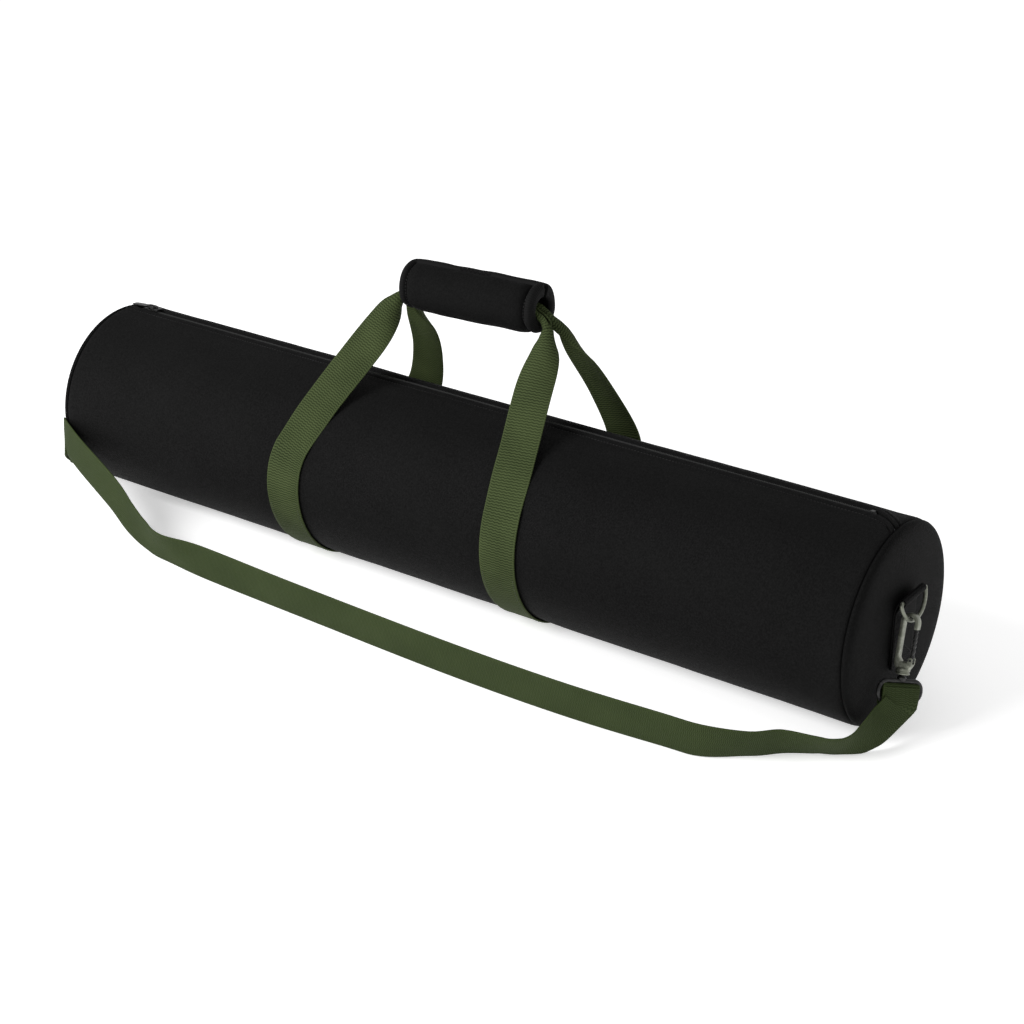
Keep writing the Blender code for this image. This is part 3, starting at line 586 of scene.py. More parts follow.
# Each row of a stitch: place along it, thickness and lift, the last two in parts of its radius
STITCH = ((-0.5, 0.35, -0.9), (-0.3, 1.0, 0.0), (0.3, 1.0, 0.0), (0.5, 0.35, -0.9))


def seams(name, lines, material, pitch=0.0032, length=0.0023, radius=0.00028):
    """Rows of stitches. Each line is a list of (place, outward) pairs that the row follows."""
    points, faces = [], []
    turns = [math.pi * c / 3 for c in range(6)]
    for line in lines:
        places = [Vector(p) for p, _ in line]
        normals = [Vector(n) for _, n in line]
        reach = [0.0]
        for a, b in zip(places, places[1:]):
            reach.append(reach[-1] + (b - a).length)
        count = max(1, int(reach[-1] / pitch))
        k = 0
        for s in range(count):
            middle = (s + 0.5) * reach[-1] / count
            while k < len(reach) - 2 and reach[k + 1] < middle:
                k += 1
            t = (middle - reach[k]) / max(reach[k + 1] - reach[k], 1e-9)
            place = places[k].lerp(places[k + 1], t)
            way = (places[k + 1] - places[k]).normalized()
            up = normals[k].lerp(normals[k + 1], t)
            up = (up - way * up.dot(way)).normalized()
            side = way.cross(up)
            add_bead(points, faces, [
                [place + way * (along * length) + side * (math.cos(turn) * radius * thick * 1.3)
                 + up * (math.sin(turn) * radius * thick + lift * radius) for turn in turns]
                for along, thick, lift in STITCH])
    return mesh_piece(name, points, faces, material)


# ---- the tube

def zip_line(x):
    """Angle of the zip round the tube. Past its end the seam turns forwards into the end seam."""
    if x <= ZIP_TURN_X:
        return ZIP_ANGLE
    return ZIP_ANGLE + 6.9 * ((x - ZIP_TURN_X) / 0.024) ** 1.7


def zip_gap(x):
    """Half the opening between the hems, in degrees. It closes past both ends of the zip."""
    past = max((x - ZIP_END) / 0.018, (ZIP_START - x) / 0.010, 0.0)
    return ZIP_HALF + (0.30 - ZIP_HALF) * min(1.0, past) ** 0.7


# Distance from the opening's edge, and how far the cloth stands out there
HEM_STEPS = (0.0, 0.0004, 0.0010, 0.0022, 0.0042, 0.0060, 0.0070, 0.0080, 0.0092, 0.0105, 0.013)
HEM_LIFTS = (-0.0016, 0.0000, 0.0012, 0.0017, 0.0016, 0.0006, -0.0010, 0.0002, 0.0009, 0.0006, 0.0)
# Rows of the skin beside each end seam, and how far the cloth turns in there
END_STEPS = (0.0, 0.0006, 0.0014, 0.0028, 0.0050, 0.0090, 0.0140, 0.020)
TURN_STEPS = (0.0, 0.0006, 0.0014, 0.0028, 0.0050, 0.0090, 0.020)
TURN_DROPS = (-0.0030, -0.0016, -0.0007, -0.0001, 0.0002, 0.0002, 0.0)
TUBE_END = SEAM_X - 0.0006
STITCH_INSET = 0.0070


def softness(x, angle):
    """Small hollows and swells of the padding, and the pull of the webbing."""
    turn = math.radians(angle)
    place = Vector((x * 13.0, 1.4 * math.cos(turn), 1.4 * math.sin(turn)))
    swell = 0.00045 * noise.noise(place) + 0.00022 * noise.noise(place * 2.7)
    pull = 0.0
    if 150 < angle < 385:
        for middle in BAND_X.values():
            away = max(abs(x - middle) - WEB / 2, 0.0)
            pull -= 0.0007 * math.exp(-(away / 0.007) ** 2)
    return swell + pull


def rest(y, z):
    """Lays what would reach the floor flat on it, with a soft turn up to the sides."""
    over = (z - FLAT_Z) / FLAT_SOFTNESS
    return y, z if over > 12 else FLAT_Z + FLAT_SOFTNESS * math.log1p(math.exp(over))


def on_tube(x, angle, radius):
    turn = math.radians(angle)
    y, z = rest(radius * math.cos(turn), AXIS_Z + radius * math.sin(turn))
    return Vector((x, y, z))


def outwards(angle):
    turn = math.radians(angle)
    return Vector((0.0, math.cos(turn), math.sin(turn)))


def make_tube_skin():
    """The outer cloth: hemmed along the zip, turned in at both end seams and drawn in by the webbing."""
    stations = [TUBE_END - d for d in END_STEPS]
    inner_x = list(np.linspace(-stations[-1], stations[-1], 150))[1:-1]
    xs = [-s for s in stations] + inner_x + list(reversed(stations))
    hems = [math.degrees(d / RADIUS) for d in HEM_STEPS]
    outer, inner, uvs = [], [], []
    for x in xs:
        start, stop = zip_line(x) + zip_gap(x), zip_line(x) - zip_gap(x) + 360
        middle = np.linspace(start + hems[-1], stop - hems[-1], 110)[1:-1]
        angles = [start + h for h in hems] + list(middle) + [stop - h for h in reversed(hems)]
        drop = float(np.interp(TUBE_END - abs(x), TURN_STEPS, TURN_DROPS))
        row = []
        for angle in angles:
            edge = min(angle - start, stop - angle) * math.pi / 180 * RADIUS
            lift = float(np.interp(edge, HEM_STEPS, HEM_LIFTS))
            row.append(on_tube(x, angle, RADIUS + drop + lift + softness(x, angle)))
        outer.append(row)
        inner.append([p + (Vector((x, 0, AXIS_Z)) - p).normalized() * SKIN * 0.6 for p in row])
        uvs.append([(x, math.radians(angle) * RADIUS) for angle in angles])
    skin = shell_grid("tube_skin", outer, inner, uvs, NYLON, 50.0)
    finish_piece(skin, "case", ["outer_shell"])


def make_hem_seams():
    """Topstitching along both hems of the zip."""
    lines = []
    for sign in (1, -1):
        line = []
        for x in np.linspace(-TUBE_END + 0.008, TUBE_END - 0.008, 260):
            angle = zip_line(x) + sign * (zip_gap(x) + math.degrees(STITCH_INSET / RADIUS))
            line.append((on_tube(x, angle, RADIUS - 0.0003), outwards(angle)))
        lines.append(line)
    finish_piece(seams("hem_stitches", lines, THREAD, radius=0.00035), "case")


# Radius and distance from the middle of the case of an end panel, from its seam inwards
END_PROFILE = (
    (0.0866, 0.4352), (0.0880, 0.4353), (0.0889, 0.4357), (0.0893, 0.4364), (0.0892, 0.4373),
    (0.0886, 0.4384), (0.0874, 0.4395), (0.0852, 0.4406), (0.0815, 0.4416), (0.0760, 0.4424),
    (0.0690, 0.4429), (0.0600, 0.4432), (0.0490, 0.4434), (0.0370, 0.4435), (0.0240, 0.4435),
    (0.0120, 0.4435), (0.0006, 0.4435))
END_SKIN = 0.0008


def make_end(side):
    """Domed end panel, its edge turned in to the seam, and the seam's piping."""
    sign = 1 if side == "right" else -1
    rings, uvs = [], []
    for radius, reach in END_PROFILE:
        ring = []
        for k in range(120):
            turn = math.pi * k / 60
            y, z = radius * math.cos(turn), radius * math.sin(turn)
            depth = 0.0007 * noise.noise(Vector((16 * y, 16 * z, 3.0 * sign)))
            depth *= min(1.0, (0.0886 - radius) / 0.012)
            ring.append(Vector((sign * (reach + depth), *rest(y, AXIS_Z + z))))
        rings.append(ring)
        uvs.append([(p.y, p.z) for p in ring + ring[:1]])
    inner = [[p - Vector((sign * END_SKIN, 0.0, 0.0)) for p in ring] for ring in reversed(rings)]
    # The end panel uses the darker copy of the nylon, which holds painted shade.
    cover = tube_grid(f"end_cover_cloth_{side}", rings + inner, uvs + uvs[::-1], SHADED_END_NYLON, 60.0)
    finish_piece(cover, "case", [f"end_cover_{side}"])
    ring = [on_tube(sign * 0.4349, a, 0.0868) for a in range(0, 360, 3)]
    piping = wire(f"end_piping_{side}", ring, 0.0010, BINDING, closed=True, sides=8)
    finish_piece(piping, "case", [f"seam_welt_{side}"])


# ---- the zip

def make_zip_tapes():
    """Both tapes, from beside the coils to under the hems."""
    end = SEAM_X - 0.002
    for name, sign in (("front", 1), ("back", -1)):
        outer, inner, uvs = [], [], []
        for x in (-end + 2 * end * k / 200 for k in range(201)):
            wide = zip_gap(x) + math.degrees(0.0040 / RADIUS)
            angles = [zip_line(x) + sign * w for w in (0.22, 0.8, 1.6, 2.6, wide)][::sign]
            outer.append([on_tube(x, a, TAPE_RADIUS) for a in angles])
            inner.append([on_tube(x, a, TAPE_RADIUS - 0.0006) for a in angles])
            uvs.append([(x, math.radians(a) * RADIUS) for a in angles])
        made = shell_grid(f"tape_{name}", outer, inner, uvs, TAPE, 50.0)
        finish_piece(made, "case", [f"zip_tape_{name}"])


# Each row of a coil's turn: reach across the zip, in metres, and thickness
COIL_TURN = ((-0.00055, 0.45), (-0.0003, 0.9), (0.0017, 0.9), (0.0022, 0.6))
COIL_PITCH = 0.0016


def make_zip_coils():
    """Interlocking turns of the nylon coil, sewn along the edge of each tape."""
    turns = [math.pi * (c + 0.5) / 3 for c in range(6)]
    for name, sign, offset in (("front", 1, 0.25), ("back", -1, 0.75)):
        points, faces = [], []
        x = ZIP_START + offset * COIL_PITCH
        while x < ZIP_END:
            up = outwards(zip_line(x))
            side = Vector((0.0, -up.z, up.y)) * sign
            base = Vector((x, 0.0, AXIS_Z)) + up * (TAPE_RADIUS + 0.0008)
            add_bead(points, faces, [
                [base + side * reach + Vector((math.cos(turn) * 0.00052 * thick, 0, 0))
                 + up * (math.sin(turn) * 0.00075 * thick) for turn in turns]
                for reach, thick in COIL_TURN])
            x += COIL_PITCH
        made = mesh_piece(f"coil_{name}", points, faces, COIL)
        finish_piece(made, "case", [f"zip_coil_{name}"])


def zip_frame(x):
    """Frame on the zip line at x: local X along the case, local Z outwards from the shell."""
    out = outwards(ZIP_ANGLE)
    along = Vector((1.0, 0.0, 0.0))
    turn = Matrix((along, out.cross(along), out)).transposed().to_4x4()
    return Matrix.Translation(Vector((x, 0.0, AXIS_Z)) + out * (RADIUS - 0.0002)) @ turn


def flat_on(frame_matrix):
    """Turns a plate's (x, z) outline so that it lies in the local X-Y plane, thick along local Z."""
    return frame_matrix @ Matrix.Rotation(-math.pi / 2, 4, "X")


def make_slider():
    """The slider's body, its pull on a bow, and the stops at both ends of the zip."""
    place = zip_frame(SLIDER_X)
    shield = both_ways([(0.0064, 0.0046), (0.0042, 0.0050), (0.0, 0.0047), (-0.0045, 0.0034),
                        (-0.0064, 0.0026)], 1, -1) + [(0.0058, -0.0012), (0.0058, 0.0012)]
    arch = both_ways([(-0.0034, 0.0), (-0.0030, 0.0022), (-0.0018, 0.0032)], -1, 1)
    arch += both_ways([(0.0020, 0.0002), (0.0014, 0.0014)], -1, 1)
    top = plate("slider_top", flat_on(place), shield, -0.0034, -0.0022, 0.0004, BLACK_METAL)
    wall = plate("slider_wall", place @ Matrix.Translation((0, 0, 0.0026)), arch, -0.0009, 0.0009, 0.0003,
                 BLACK_METAL)
    finish_piece(join("slider", [top, wall]), "zip_slider", ["zip_slider"])
    ring = [place @ Vector((x, y, PULL_HEIGHT)) for x, y in (
        (0.0002, -0.0026), (0.0006, 0.0), (0.0002, 0.0026), (-0.0030, 0.0032), (-0.0075, 0.0030),
        (-0.0095, 0.0018), (-0.0095, -0.0018), (-0.0075, -0.0030), (-0.0030, -0.0032))]
    bow = wire("pull_bow", smooth(ring, 0.0012, True), 0.0007, BLACK_METAL, closed=True, sides=10)
    hinge = Matrix.Translation((0, 0, PULL_HEIGHT))
    sloped = place @ hinge @ Matrix.Rotation(math.radians(PULL_SLOPE), 4, "Y") @ hinge.inverted()
    outline = both_ways([(-0.0088, 0.0022), (-0.0105, 0.0034), (-0.0200, 0.0040), (-0.0275, 0.0038),
                         (-0.0290, 0.0026)], 1, -1)
    leaf = plate("pull_leaf", flat_on(sloped), outline, -0.0053, -0.0041, 0.00045, BLACK_METAL)
    finish_piece(join("pull", [bow, leaf]), "zip_pull", ["zip_pull"])
    outline = both_ways([(-0.0022, 0.0002), (-0.0016, 0.0009)], -1, 1)
    outline += [(0.0022, -0.0004), (-0.0022, -0.0004)]
    for name, x in (("closed", ZIP_START + 0.004), ("open", ZIP_END - 0.004)):
        stop = plate(f"stop_{name}", zip_frame(x), outline, -0.0024, 0.0024, 0.0003, BLACK_METAL)
        finish_piece(stop, "case", [f"zip_stop_{name}"])


# ---- the carry handle

def grip_point(along, y, z):
    x = along * math.cos(GRIP_TILT) - z * math.sin(GRIP_TILT)
    height = along * math.sin(GRIP_TILT) + z * math.cos(GRIP_TILT)
    return GRIP_CENTRE + Vector((x, y, height))


# A front band leans towards the grip before it leaves the tube: (x, angle)
LEAVING = {
    "front_left": [(-0.1490, 174), (-0.1480, 166), (-0.1457, 158), (-0.1417, 150)],
    "front_right": [(0.0973, 174), (0.0972, 166), (0.0970, 158), (0.0965, 150)],
    "back_left": [], "back_right": []}
# Stations of each free leg up to the grip: (x, y, z, side_x, side_y, curl)
LEGS = {
    "front_left": [
        (-0.1334, -0.0640, 0.1572, 1.0, 0.1, 0.04), (-0.1242, -0.0475, 0.1790, 1.0, 0.1, 0.08),
        (-0.1040, -0.0180, 0.2200, 1.0, 0.2, 0.22), (-0.0935, 0.0010, 0.2460, 0.9, 0.5, 1.0),
        (-0.0870, 0.0085, 0.2585, 0.7, 0.8, 1.9)],
    "front_right": [
        (0.0938, -0.0640, 0.1572, 1.0, -0.1, 0.04), (0.0905, -0.0475, 0.1790, 1.0, -0.1, 0.08),
        (0.0850, -0.0180, 0.2220, 1.0, -0.2, 0.25), (0.0832, 0.0010, 0.2470, 0.9, -0.5, 1.0),
        (0.0805, 0.0090, 0.2600, 0.7, -0.8, 1.9)],
    "back_left": [
        (-0.1370, 0.0912, 0.1150, 1.0, 0.0, 0.0), (-0.1190, 0.0905, 0.1450, 1.0, 0.0, 0.05),
        (-0.1055, 0.0780, 0.1850, 1.0, -0.1, 0.15), (-0.0955, 0.0560, 0.2240, 1.0, -0.2, 0.3),
        (-0.0915, 0.0390, 0.2510, 0.9, -0.6, 1.4)],
    "back_right": [
        (0.1060, 0.0912, 0.1180, 1.0, 0.0, 0.0), (0.1110, 0.0905, 0.1450, 1.0, 0.0, 0.05),
        (0.0990, 0.0760, 0.1880, 1.0, 0.1, 0.15), (0.0865, 0.0540, 0.2300, 1.0, 0.2, 0.3),
        (0.0820, 0.0390, 0.2550, 0.9, 0.6, 1.4)]}
# Half of the stations inside the grip: (along, curl, lift)
IN_GRIP = [(0.058, 2.9, 0.0), (0.071, 2.8, -0.0045), (0.0785, 2.7, -0.0095)]


def make_handle_loop(row, nodes):
    """One length of webbing: from under the tube up the left leg, through the grip, down the right leg."""
    shift = -1 if row == "front" else 1
    legs = []
    for side in SIDES:
        angles = [269.5, *range(262, 181, -8)]
        lying = [(BAND_X[side], a if row == "front" else 540 - a) for a in angles]
        leg = [(*on_tube(x, a, STRAP_RADIUS), 1.0, 0.0, 0.0) for x, a in lying + LEAVING[f"{row}_{side}"]]
        legs.append(leg + LEGS[f"{row}_{side}"])
    stations = legs[0]
    for along, curl, lift in [(-a, c, d) for a, c, d in reversed(IN_GRIP)] + [(0.0, 2.9, 0.0)] + IN_GRIP:
        stations.append((*grip_point(along, shift * 0.0048, lift), 0.0, 1.0, curl))
    stations += [(x, y, z, -side_x, side_y, curl) for x, y, z, side_x, side_y, curl in reversed(legs[1])]
    read = smooth(stations, 0.0030)
    curls = [max(0.0, s[5]) for s in read]
    made = webbing(f"webbing_{row}", [Vector(s[:3]) for s in read], [Vector((s[3], s[4], 0.0)) for s in read],
                   curls, -shift, OLIVE, pinches=[1.0 - 0.46 * min(1.0, curl / 2.5) for curl in curls])
    fix_normals(made)
    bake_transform(made)
    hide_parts(*nodes)


def make_handle():
    """Both loops with the bands that they become round the tube, and the bands' stitches."""
    make_handle_loop("front", ["handle_strap_front", "webbing_band_left", "webbing_band_right"])
    make_handle_loop("back", ["handle_strap_back"])
    radius = STRAP_RADIUS + WEB_THICK / 2 + 0.0001
    lines = []
    for side in SIDES:
        for edge in (0.0028 - WEB / 2, WEB / 2 - 0.0028):
            for start, end in ((192, 262), (278, 352)):
                lines.append([(on_tube(BAND_X[side] + edge, a, radius), outwards(a))
                              for a in range(start, end + 1, 3)])
    finish_piece(seams("webbing_stitches", lines, OLIVE_THREAD), "case")


# Distance from a leaf's edge, and the padding's height there: bound edge, sewn groove, soft middle
LEAF_EDGE = (0.0, 0.0008, 0.0022, 0.0045, 0.0068, 0.0080, 0.0088, 0.0100, 0.0130, 0.0200)
LEAF_HEIGHTS = (0.45, 0.80, 1.00, 1.05, 0.88, 0.42, 0.40, 0.72, 0.97, 1.04)
# Rows of the leaf's mesh beside its edge
LEAF_STEPS = (0.0, 0.0004, 0.0010, 0.0022, 0.0045, 0.0068, 0.0080, 0.0088, 0.0100, 0.0130, 0.0165, 0.0200)
LEAF_CORNER = 0.009
BORDER = 0.0082


def make_leaf(name, start, end, bound_first, body, nodes):
    """One leaf of the grip. Both ends are bound, and its first or its last long side."""
    thick = GRIP_RADIUS - GRIP_HOLLOW
    alongs = [-GRIP_HALF + s for s in LEAF_STEPS] + list(np.linspace(-0.054, 0.054, 46))[1:-1]
    alongs += [GRIP_HALF - s for s in reversed(LEAF_STEPS)]
    span = math.radians(end - start) * GRIP_RADIUS
    beside = [min(s, span / 2) for s in LEAF_STEPS]
    middle = [v for v in np.linspace(0.02, span - 0.02, max(2, int(span / 0.0026))) if 0.0 < v < span]
    rounds = sorted({round(float(v), 6) for v in beside + [span - s for s in beside] + middle})
    outer, inner, uvs = [], [], []
    for along in alongs:
        end_far = GRIP_HALF - abs(along)
        row_out, row_in = [], []
        for reach in rounds:
            turn = math.radians(start) + reach / GRIP_RADIUS
            cosine, sine = math.cos(turn), math.sin(turn)
            near = min(end_far, reach if bound_first else span - reach)
            corner = corner_cut(end_far, reach) if bound_first else 0.0
            high = GRIP_HOLLOW + thick * float(np.interp(max(near - corner, 0.0), LEAF_EDGE, LEAF_HEIGHTS))
            high += 0.0007 * noise.noise(Vector((along * 45, cosine * 1.5, sine * 1.5)))
            high += 0.0006 * math.sin(math.pi * min(near, 0.03) / 0.06) + 0.0018 * max(0.0, sine) ** 2
            low = GRIP_HOLLOW + 0.45 * thick * (1 - min(1.0, near / 0.0022)) ** 2
            mouth = 0.0050 * (1 - min(1.0, end_far / 0.018)) ** 2
            high, low = high - 0.35 * mouth, low - mouth
            place = along - math.copysign(corner * 0.6, along)
            row_out.append(grip_point(place, high * cosine, high * sine))
            row_in.append(grip_point(place, low * cosine, low * sine))
        outer.append(row_out)
        inner.append(row_in)
        uvs.append([(along, reach) for reach in rounds])
    made = shell_grid(name, outer, inner, uvs, GRIP_CLOTH, 60.0)
    paint_border(made, span, bound_first)
    finish_piece(made, body, nodes)


def corner_cut(end_far, side_far):
    """How much a rounded corner of the leaf takes away."""
    if max(end_far, side_far) >= LEAF_CORNER:
        return 0.0
    return max(0.0, math.hypot(LEAF_CORNER - end_far, LEAF_CORNER - side_far) - LEAF_CORNER) * 0.7


def paint_border(made, span, bound_first):
    """Gives the bound edge of a leaf its own cloth."""
    made.data.materials.append(BINDING)
    layer = made.data.uv_layers[0].data
    for face in made.data.polygons:
        u, v = (sum(layer[i].uv[k] for i in face.loop_indices) / face.loop_total for k in (0, 1))
        near = min(GRIP_HALF - abs(u), v if bound_first else span - v)
        face.material_index = int(near < BORDER)


def make_grip():
    """The padded wrap round the handle, its flap, and the stitches of the wrap's bound edge."""
    first, last = FLAP_EDGE + 3.2, 360 + FLAP_HINGE - 1.0
    make_leaf("grip_wrap", first, last, True, "handle", ["grip_cover", "grip_foam", "grip_loop_tape"])
    make_leaf("grip_wrap_flap", FLAP_HINGE + 1.0, FLAP_EDGE - 1.2, False, "grip_flap",
              ["grip_flap", "grip_flap_foam", "grip_hook_tape"])
    first += math.degrees(0.0084 / GRIP_RADIUS)
    radius = GRIP_HOLLOW + 0.66 * (GRIP_RADIUS - GRIP_HOLLOW)

    def spot(along, angle):
        up = outwards(angle)
        return grip_point(along, radius * up.y, radius * up.z), up

    edge = GRIP_HALF - 0.0084
    lines = [[spot(a, first) for a in np.linspace(-edge, edge, 40)]]
    lines += [[spot(a, t) for t in np.linspace(first, last - 2, 30)] for a in (-edge, edge)]
    made = seams("grip_stitches", lines, THREAD, pitch=0.0030, length=0.0020, radius=0.00025)
    finish_piece(made, "handle")


# ---- the end hardware

def mirrored(vector, side):
    return Vector((vector.x if side == "right" else -vector.x, vector.y, vector.z))


def ring_point(side, degrees):
    bar, apex = mirrored(RING_BAR, side), mirrored(RING_APEX, side)
    angle = math.radians(degrees)
    return bar + Vector((0, -RING_HALF_WIDTH * math.cos(angle), 0)) + (apex - bar) * math.sin(angle)


def hook_frame(side):
    """Frame of a hanging hook: origin where it pulls on the D-ring, X outwards, Z down the hook."""
    down = Vector(HOOK_AXIS[side]).normalized()
    out = Vector((1.0 if side == "right" else -1.0, 0.0, 0.0))
    out = (out - down * out.dot(down)).normalized()
    across = down.cross(out)
    drop = RING_BAR.z - RING_APEX.z
    pull = math.degrees(math.atan2(-down.z * drop, -down.y * RING_HALF_WIDTH))
    return Matrix.Translation(ring_point(side, pull)) @ Matrix((out, across, down)).transposed().to_4x4()


def loop_frame(side):
    return hook_frame(side) @ Matrix.Rotation(math.radians(LOOP_TURN[side]), 4, "Z")


def make_tab(side):
    """Black webbing that runs up the end panel, over the ring's bar and back down, sewn in a crossed box."""
    bar = mirrored(RING_BAR, side)
    sign = 1 if side == "right" else -1
    bend = RING_WIRE + 0.0009
    inner, outer = -0.0071, -0.0056
    arc = [math.radians(a) for a in range(170, -101, -30)]
    points = [(inner, -0.0640), (inner, -0.0300), (inner + 0.0002, -0.0130), (-0.0050, -0.0050)]
    points += [(bend * math.cos(a), bend * math.sin(a)) for a in arc]
    points += [(-0.0028, -0.0064), (outer + 0.0003, -0.0125), (outer, -0.0300), (outer, -0.0640)]
    read = smooth([(x, 0.0, z) for x, z in points], 0.0015)
    centres = [bar + Vector((sign * x, 0.0, z)) for x, _, z in read]
    count = len(centres)
    tab = webbing(f"ring_tab_{side}", centres, [Vector((0, 1, 0))] * count, [0.0] * count, 1, BLACK_WEB,
                  width=0.0378, thick=0.0012)
    finish_piece(tab, "case", [f"end_tab_{side}"])

    def spot(y, z):
        return bar + Vector((sign * (outer + 0.0007), y, z)), Vector((sign, 0.0, 0.0))

    low, high, half = -0.0610, -0.0330, 0.0160
    corners = [(-half, low), (half, low), (half, high), (-half, high), (-half, low), (half, high)]
    lines = [[spot(*a), spot(*b)] for a, b in zip(corners, corners[1:])]
    lines.append([spot(-half, high), spot(half, low)])
    fine = [[(p.lerp(q, t), n) for t in np.linspace(0, 1, 9)] for (p, n), (q, _) in lines]
    made = seams(f"tab_stitches_{side}", fine, THREAD, pitch=0.0028, length=0.0020)
    finish_piece(made, "case")


def make_ring(side):
    bar = mirrored(RING_BAR, side)
    wide = RING_HALF_WIDTH - 0.0022
    points = [bar + Vector((0, -wide + 2 * wide * i / 12, 0)) for i in range(13)]
    points += [ring_point(side, 176 - 4 * i) for i in range(44)]
    ring = wire(f"ring_{side}", points, RING_WIRE, GUNMETAL, closed=True, sides=18)
    finish_piece(ring, f"d_ring_{side}", [f"d_ring_{side}"])


def arc_points(radius, height, angles):
    """Points of an arc that turns upwards (to negative z) about (0, height)."""
    turns = [math.radians(a) for a in angles]
    return [(radius * math.cos(t), height - radius * math.sin(t)) for t in turns]


def make_hook(side):
    """Cast hook with a ribbed gate, on a turned swivel with a wire loop below it."""
    place = hook_frame(side)
    outline = arc_points(HOOK_EYE, EYE_HEIGHT, range(180, -1, -12))
    outline += [(HOOK_EYE + 0.0003, GATE_TIP - 0.0009), (HOOK_OUTER, GATE_TIP - 0.0009)]
    outline += arc_points(HOOK_OUTER, EYE_HEIGHT, range(0, 181, 10))
    outline += [(-HOOK_OUTER, 0.0365), (-HOOK_OUTER + 0.0022, 0.0405), (HOOK_OUTER - 0.0022, 0.0405),
                (HOOK_OUTER - 0.0002, 0.0365), (HOOK_OUTER - 0.0002, HOOK_BASE_TOP + 0.0008),
                (HOOK_EYE, HOOK_BASE_TOP), (-0.0020, HOOK_BASE_TOP), (-HOOK_EYE, 0.0310)]
    cast = plate(f"hook_cast_{side}", place, outline, -HOOK_WIDTH / 2, HOOK_WIDTH / 2, 0.0009, GUNMETAL)
    pivot = HOOK_BASE_TOP - 0.0022
    low_x, high_x, foot = HOOK_EYE - 0.0004, HOOK_OUTER + 0.0001, HOOK_BASE_TOP + 0.0016
    outline = [(low_x, foot), (low_x, pivot - 0.0012), (HOOK_EYE + 0.0008, pivot - 0.0022),
               (HOOK_OUTER - 0.0008, pivot - 0.0022), (high_x, pivot - 0.0012), (high_x, foot)]
    ears = [plate(f"ear_{k}_{side}", place, outline, low, low + 0.0015, 0.0004, GUNMETAL)
            for k, low in enumerate((-0.0038, 0.0023))]
    barrel = turned(f"barrel_{side}", place,
                    [(0.0032, 0.0392), (0.0054, 0.0396), (0.0060, 0.0404), (0.0060, 0.0418),
                     (0.0054, 0.0424), (0.0054, 0.0432), (0.0060, 0.0438), (0.0058, 0.0446),
                     (0.0046, 0.0452), (0.0026, 0.0454)], GUNMETAL)
    body = join(f"hook_cast_{side}", [cast, *ears, barrel])
    finish_piece(body, f"hook_{side}", [f"hook_body_{side}"])
    gate_x = (HOOK_EYE + HOOK_OUTER) / 2
    across = Matrix.Translation((gate_x, -0.0042, pivot)) @ Matrix.Rotation(-math.pi / 2, 4, "X")
    pin = turned(f"pin_{side}", place @ across,
                 [(0.0004, 0.0), (0.0010, 0.0001), (0.0011, 0.0004), (0.0007, 0.0005), (0.0007, 0.0079),
                  (0.0011, 0.0080), (0.0010, 0.0083), (0.0004, 0.0084)], BLACK_METAL, 16)
    finish_piece(pin, f"hook_{side}", [f"gate_pin_{side}"])
    gate_length = pivot + 0.0012 - GATE_TIP
    line = [place @ Vector((gate_x, 0.0, GATE_TIP + gate_length * k / 90)) for k in range(91)]
    gate = wire(f"gate_{side}", line, 0.00155, BLACK_METAL, sides=20, ridge=0.00034,
                ridges=2 * math.pi / 0.0042)
    finish_piece(gate, f"gate_{side}", [f"hook_gate_{side}"])
    make_loop(side)


def make_loop(side):
    """The wire loop that the strap is sewn round, on its stem in the swivel."""
    place = loop_frame(side)
    corner = 0.0082
    points = []
    for flip_y, flip_z, start in ((1, 1, 0), (-1, 1, 90), (-1, -1, 180), (1, -1, 270)):
        across = flip_y * (LOOP_HALF_WIDTH - corner)
        down = (LOOP_TOP + LOOP_BOTTOM) / 2 + flip_z * ((LOOP_BOTTOM - LOOP_TOP) / 2 - corner)
        for a in range(start, start + 91, 10):
            turn = math.radians(a)
            points.append(place @ Vector((0.0, across + corner * math.cos(turn),
                                          down + corner * math.sin(turn))))
    ring = wire(f"loop_{side}", points, LOOP_WIRE, BLACK_METAL, closed=True, sides=16)
    stem = turned(f"loop_stem_{side}", place,
                  [(0.0030, HOOK_BASE_TOP + 0.0004), (0.0034, HOOK_BASE_TOP + 0.0012), (0.0022, 0.0372),
                   (0.0022, 0.0462), (0.0032, 0.0466), (0.0040, 0.0478), (0.0036, 0.0498), (0.0024, 0.0512)],
                  BLACK_METAL, 20)
    made = join(f"loop_{side}", [ring, stem])
    finish_piece(made, "case", [f"swivel_loop_{side}"])


# ---- the shoulder strap

def strap_end(side):
    """Lower and upper edge of the webbing from the fold above the loop's bar to just below the bar."""
    place = loop_frame(side)
    low = -WEB / 2 if side == "right" else WEB / 2
    top = LOOP_BOTTOM - FOLD_RISE[side] + 0.0020
    stations = ((0.0026, top), (0.0033, LOOP_BOTTOM - 0.0010), (0.0034, LOOP_BOTTOM + 0.0020))
    return [(place @ Vector((out, low, down)), place @ Vector((out, -low, down))) for out, down in stations]


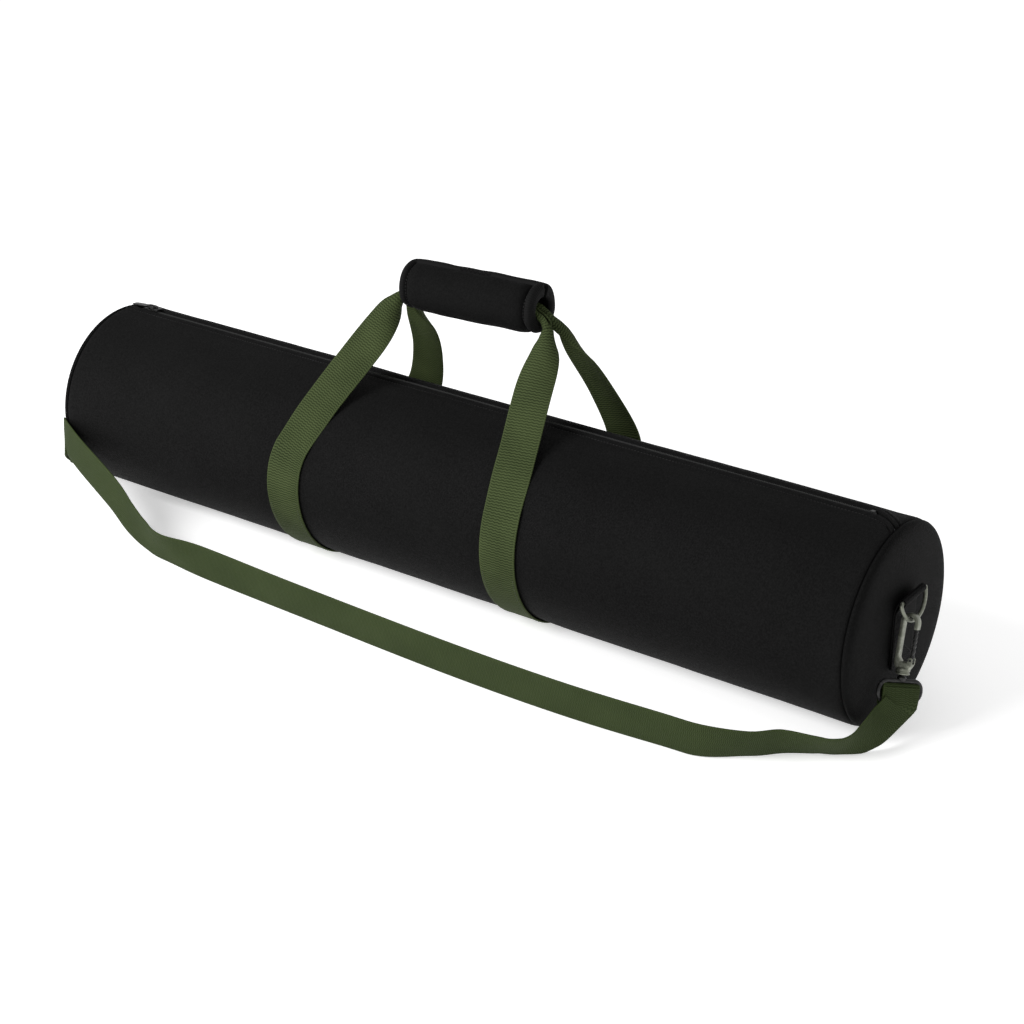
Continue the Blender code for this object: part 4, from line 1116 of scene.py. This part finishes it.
def make_shoulder_strap():
    """The loose strap: from the right loop, on its edge before the case, and up to the left loop."""
    edges = strap_end("right") + STRAP_EDGES + strap_end("left")[::-1]
    read = smooth([(*low, *high) for low, high in edges], 0.0035)
    centres, sides = [], []
    for place in read:
        low, high = Vector(place[:3]), Vector(place[3:])
        centres.append((low + high) / 2)
        sides.append(high - low)
    count = len(centres)
    curls = [0.06 + 0.05 * math.sin(i * 0.045) for i in range(count)]
    strap = webbing("strap_webbing", centres, sides, curls, 1, STRAP_OLIVE, width=WEB - 0.0006)
    finish_piece(strap, "case", ["shoulder_strap"])
    with_pieces = [make_fold("right"), make_fold("left")]
    for side in SIDES:
        with_pieces += [f"loop_{side}", f"hook_cast_{side}", f"pin_{side}", f"gate_{side}"]


def make_fold(side):
    """The strap's end: over the fold, back down behind the loop's bar, and sewn to the strap."""
    place = loop_frame(side)
    bar, top = LOOP_BOTTOM, LOOP_BOTTOM - FOLD_RISE[side]
    line = [(0.0026, top + 0.0020), (0.0012, top), (-0.0008, top), (-0.0024, top + 0.0020),
            (-0.0032, bar - 0.0010), (-0.0026, bar + 0.0030), (-0.0014, bar + 0.0060), (0.0006, bar + 0.0090)]
    centres = [place @ Vector(p) for p in smooth([(out, 0.0, down) for out, down in line], 0.0012)]
    count = len(centres)
    across = place.to_3x3() @ Vector((0.0, 1.0, 0.0))
    made = webbing(f"strap_fold_{side}", centres, [across] * count, [0.0] * count, 1, STRAP_OLIVE,
                   width=WEB - 0.0010)
    return finish_piece(made, "case")


# ---- carried-over nodes

def dress_nodes():
    """Padding and lining keep their CAD shape and get their own cloth."""
    finishes = {"foam_padding": FOAM, "inner_lining": LINING}
    for side in SIDES:
        finishes[f"end_foam_{side}"] = FOAM
        finishes[f"end_lining_{side}"] = LINING
    for name, material in finishes.items():
        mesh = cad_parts[name].data
        mesh.materials.clear()
        mesh.materials.append(material)


place_camera()
light_studio()
make_tube_skin()
make_hem_seams()
make_zip_tapes()
make_zip_coils()
make_slider()
make_handle()
make_grip()
for end in SIDES:
    make_end(end)
    make_tab(end)
    make_ring(end)
    make_hook(end)
make_shoulder_strap()
dress_nodes()
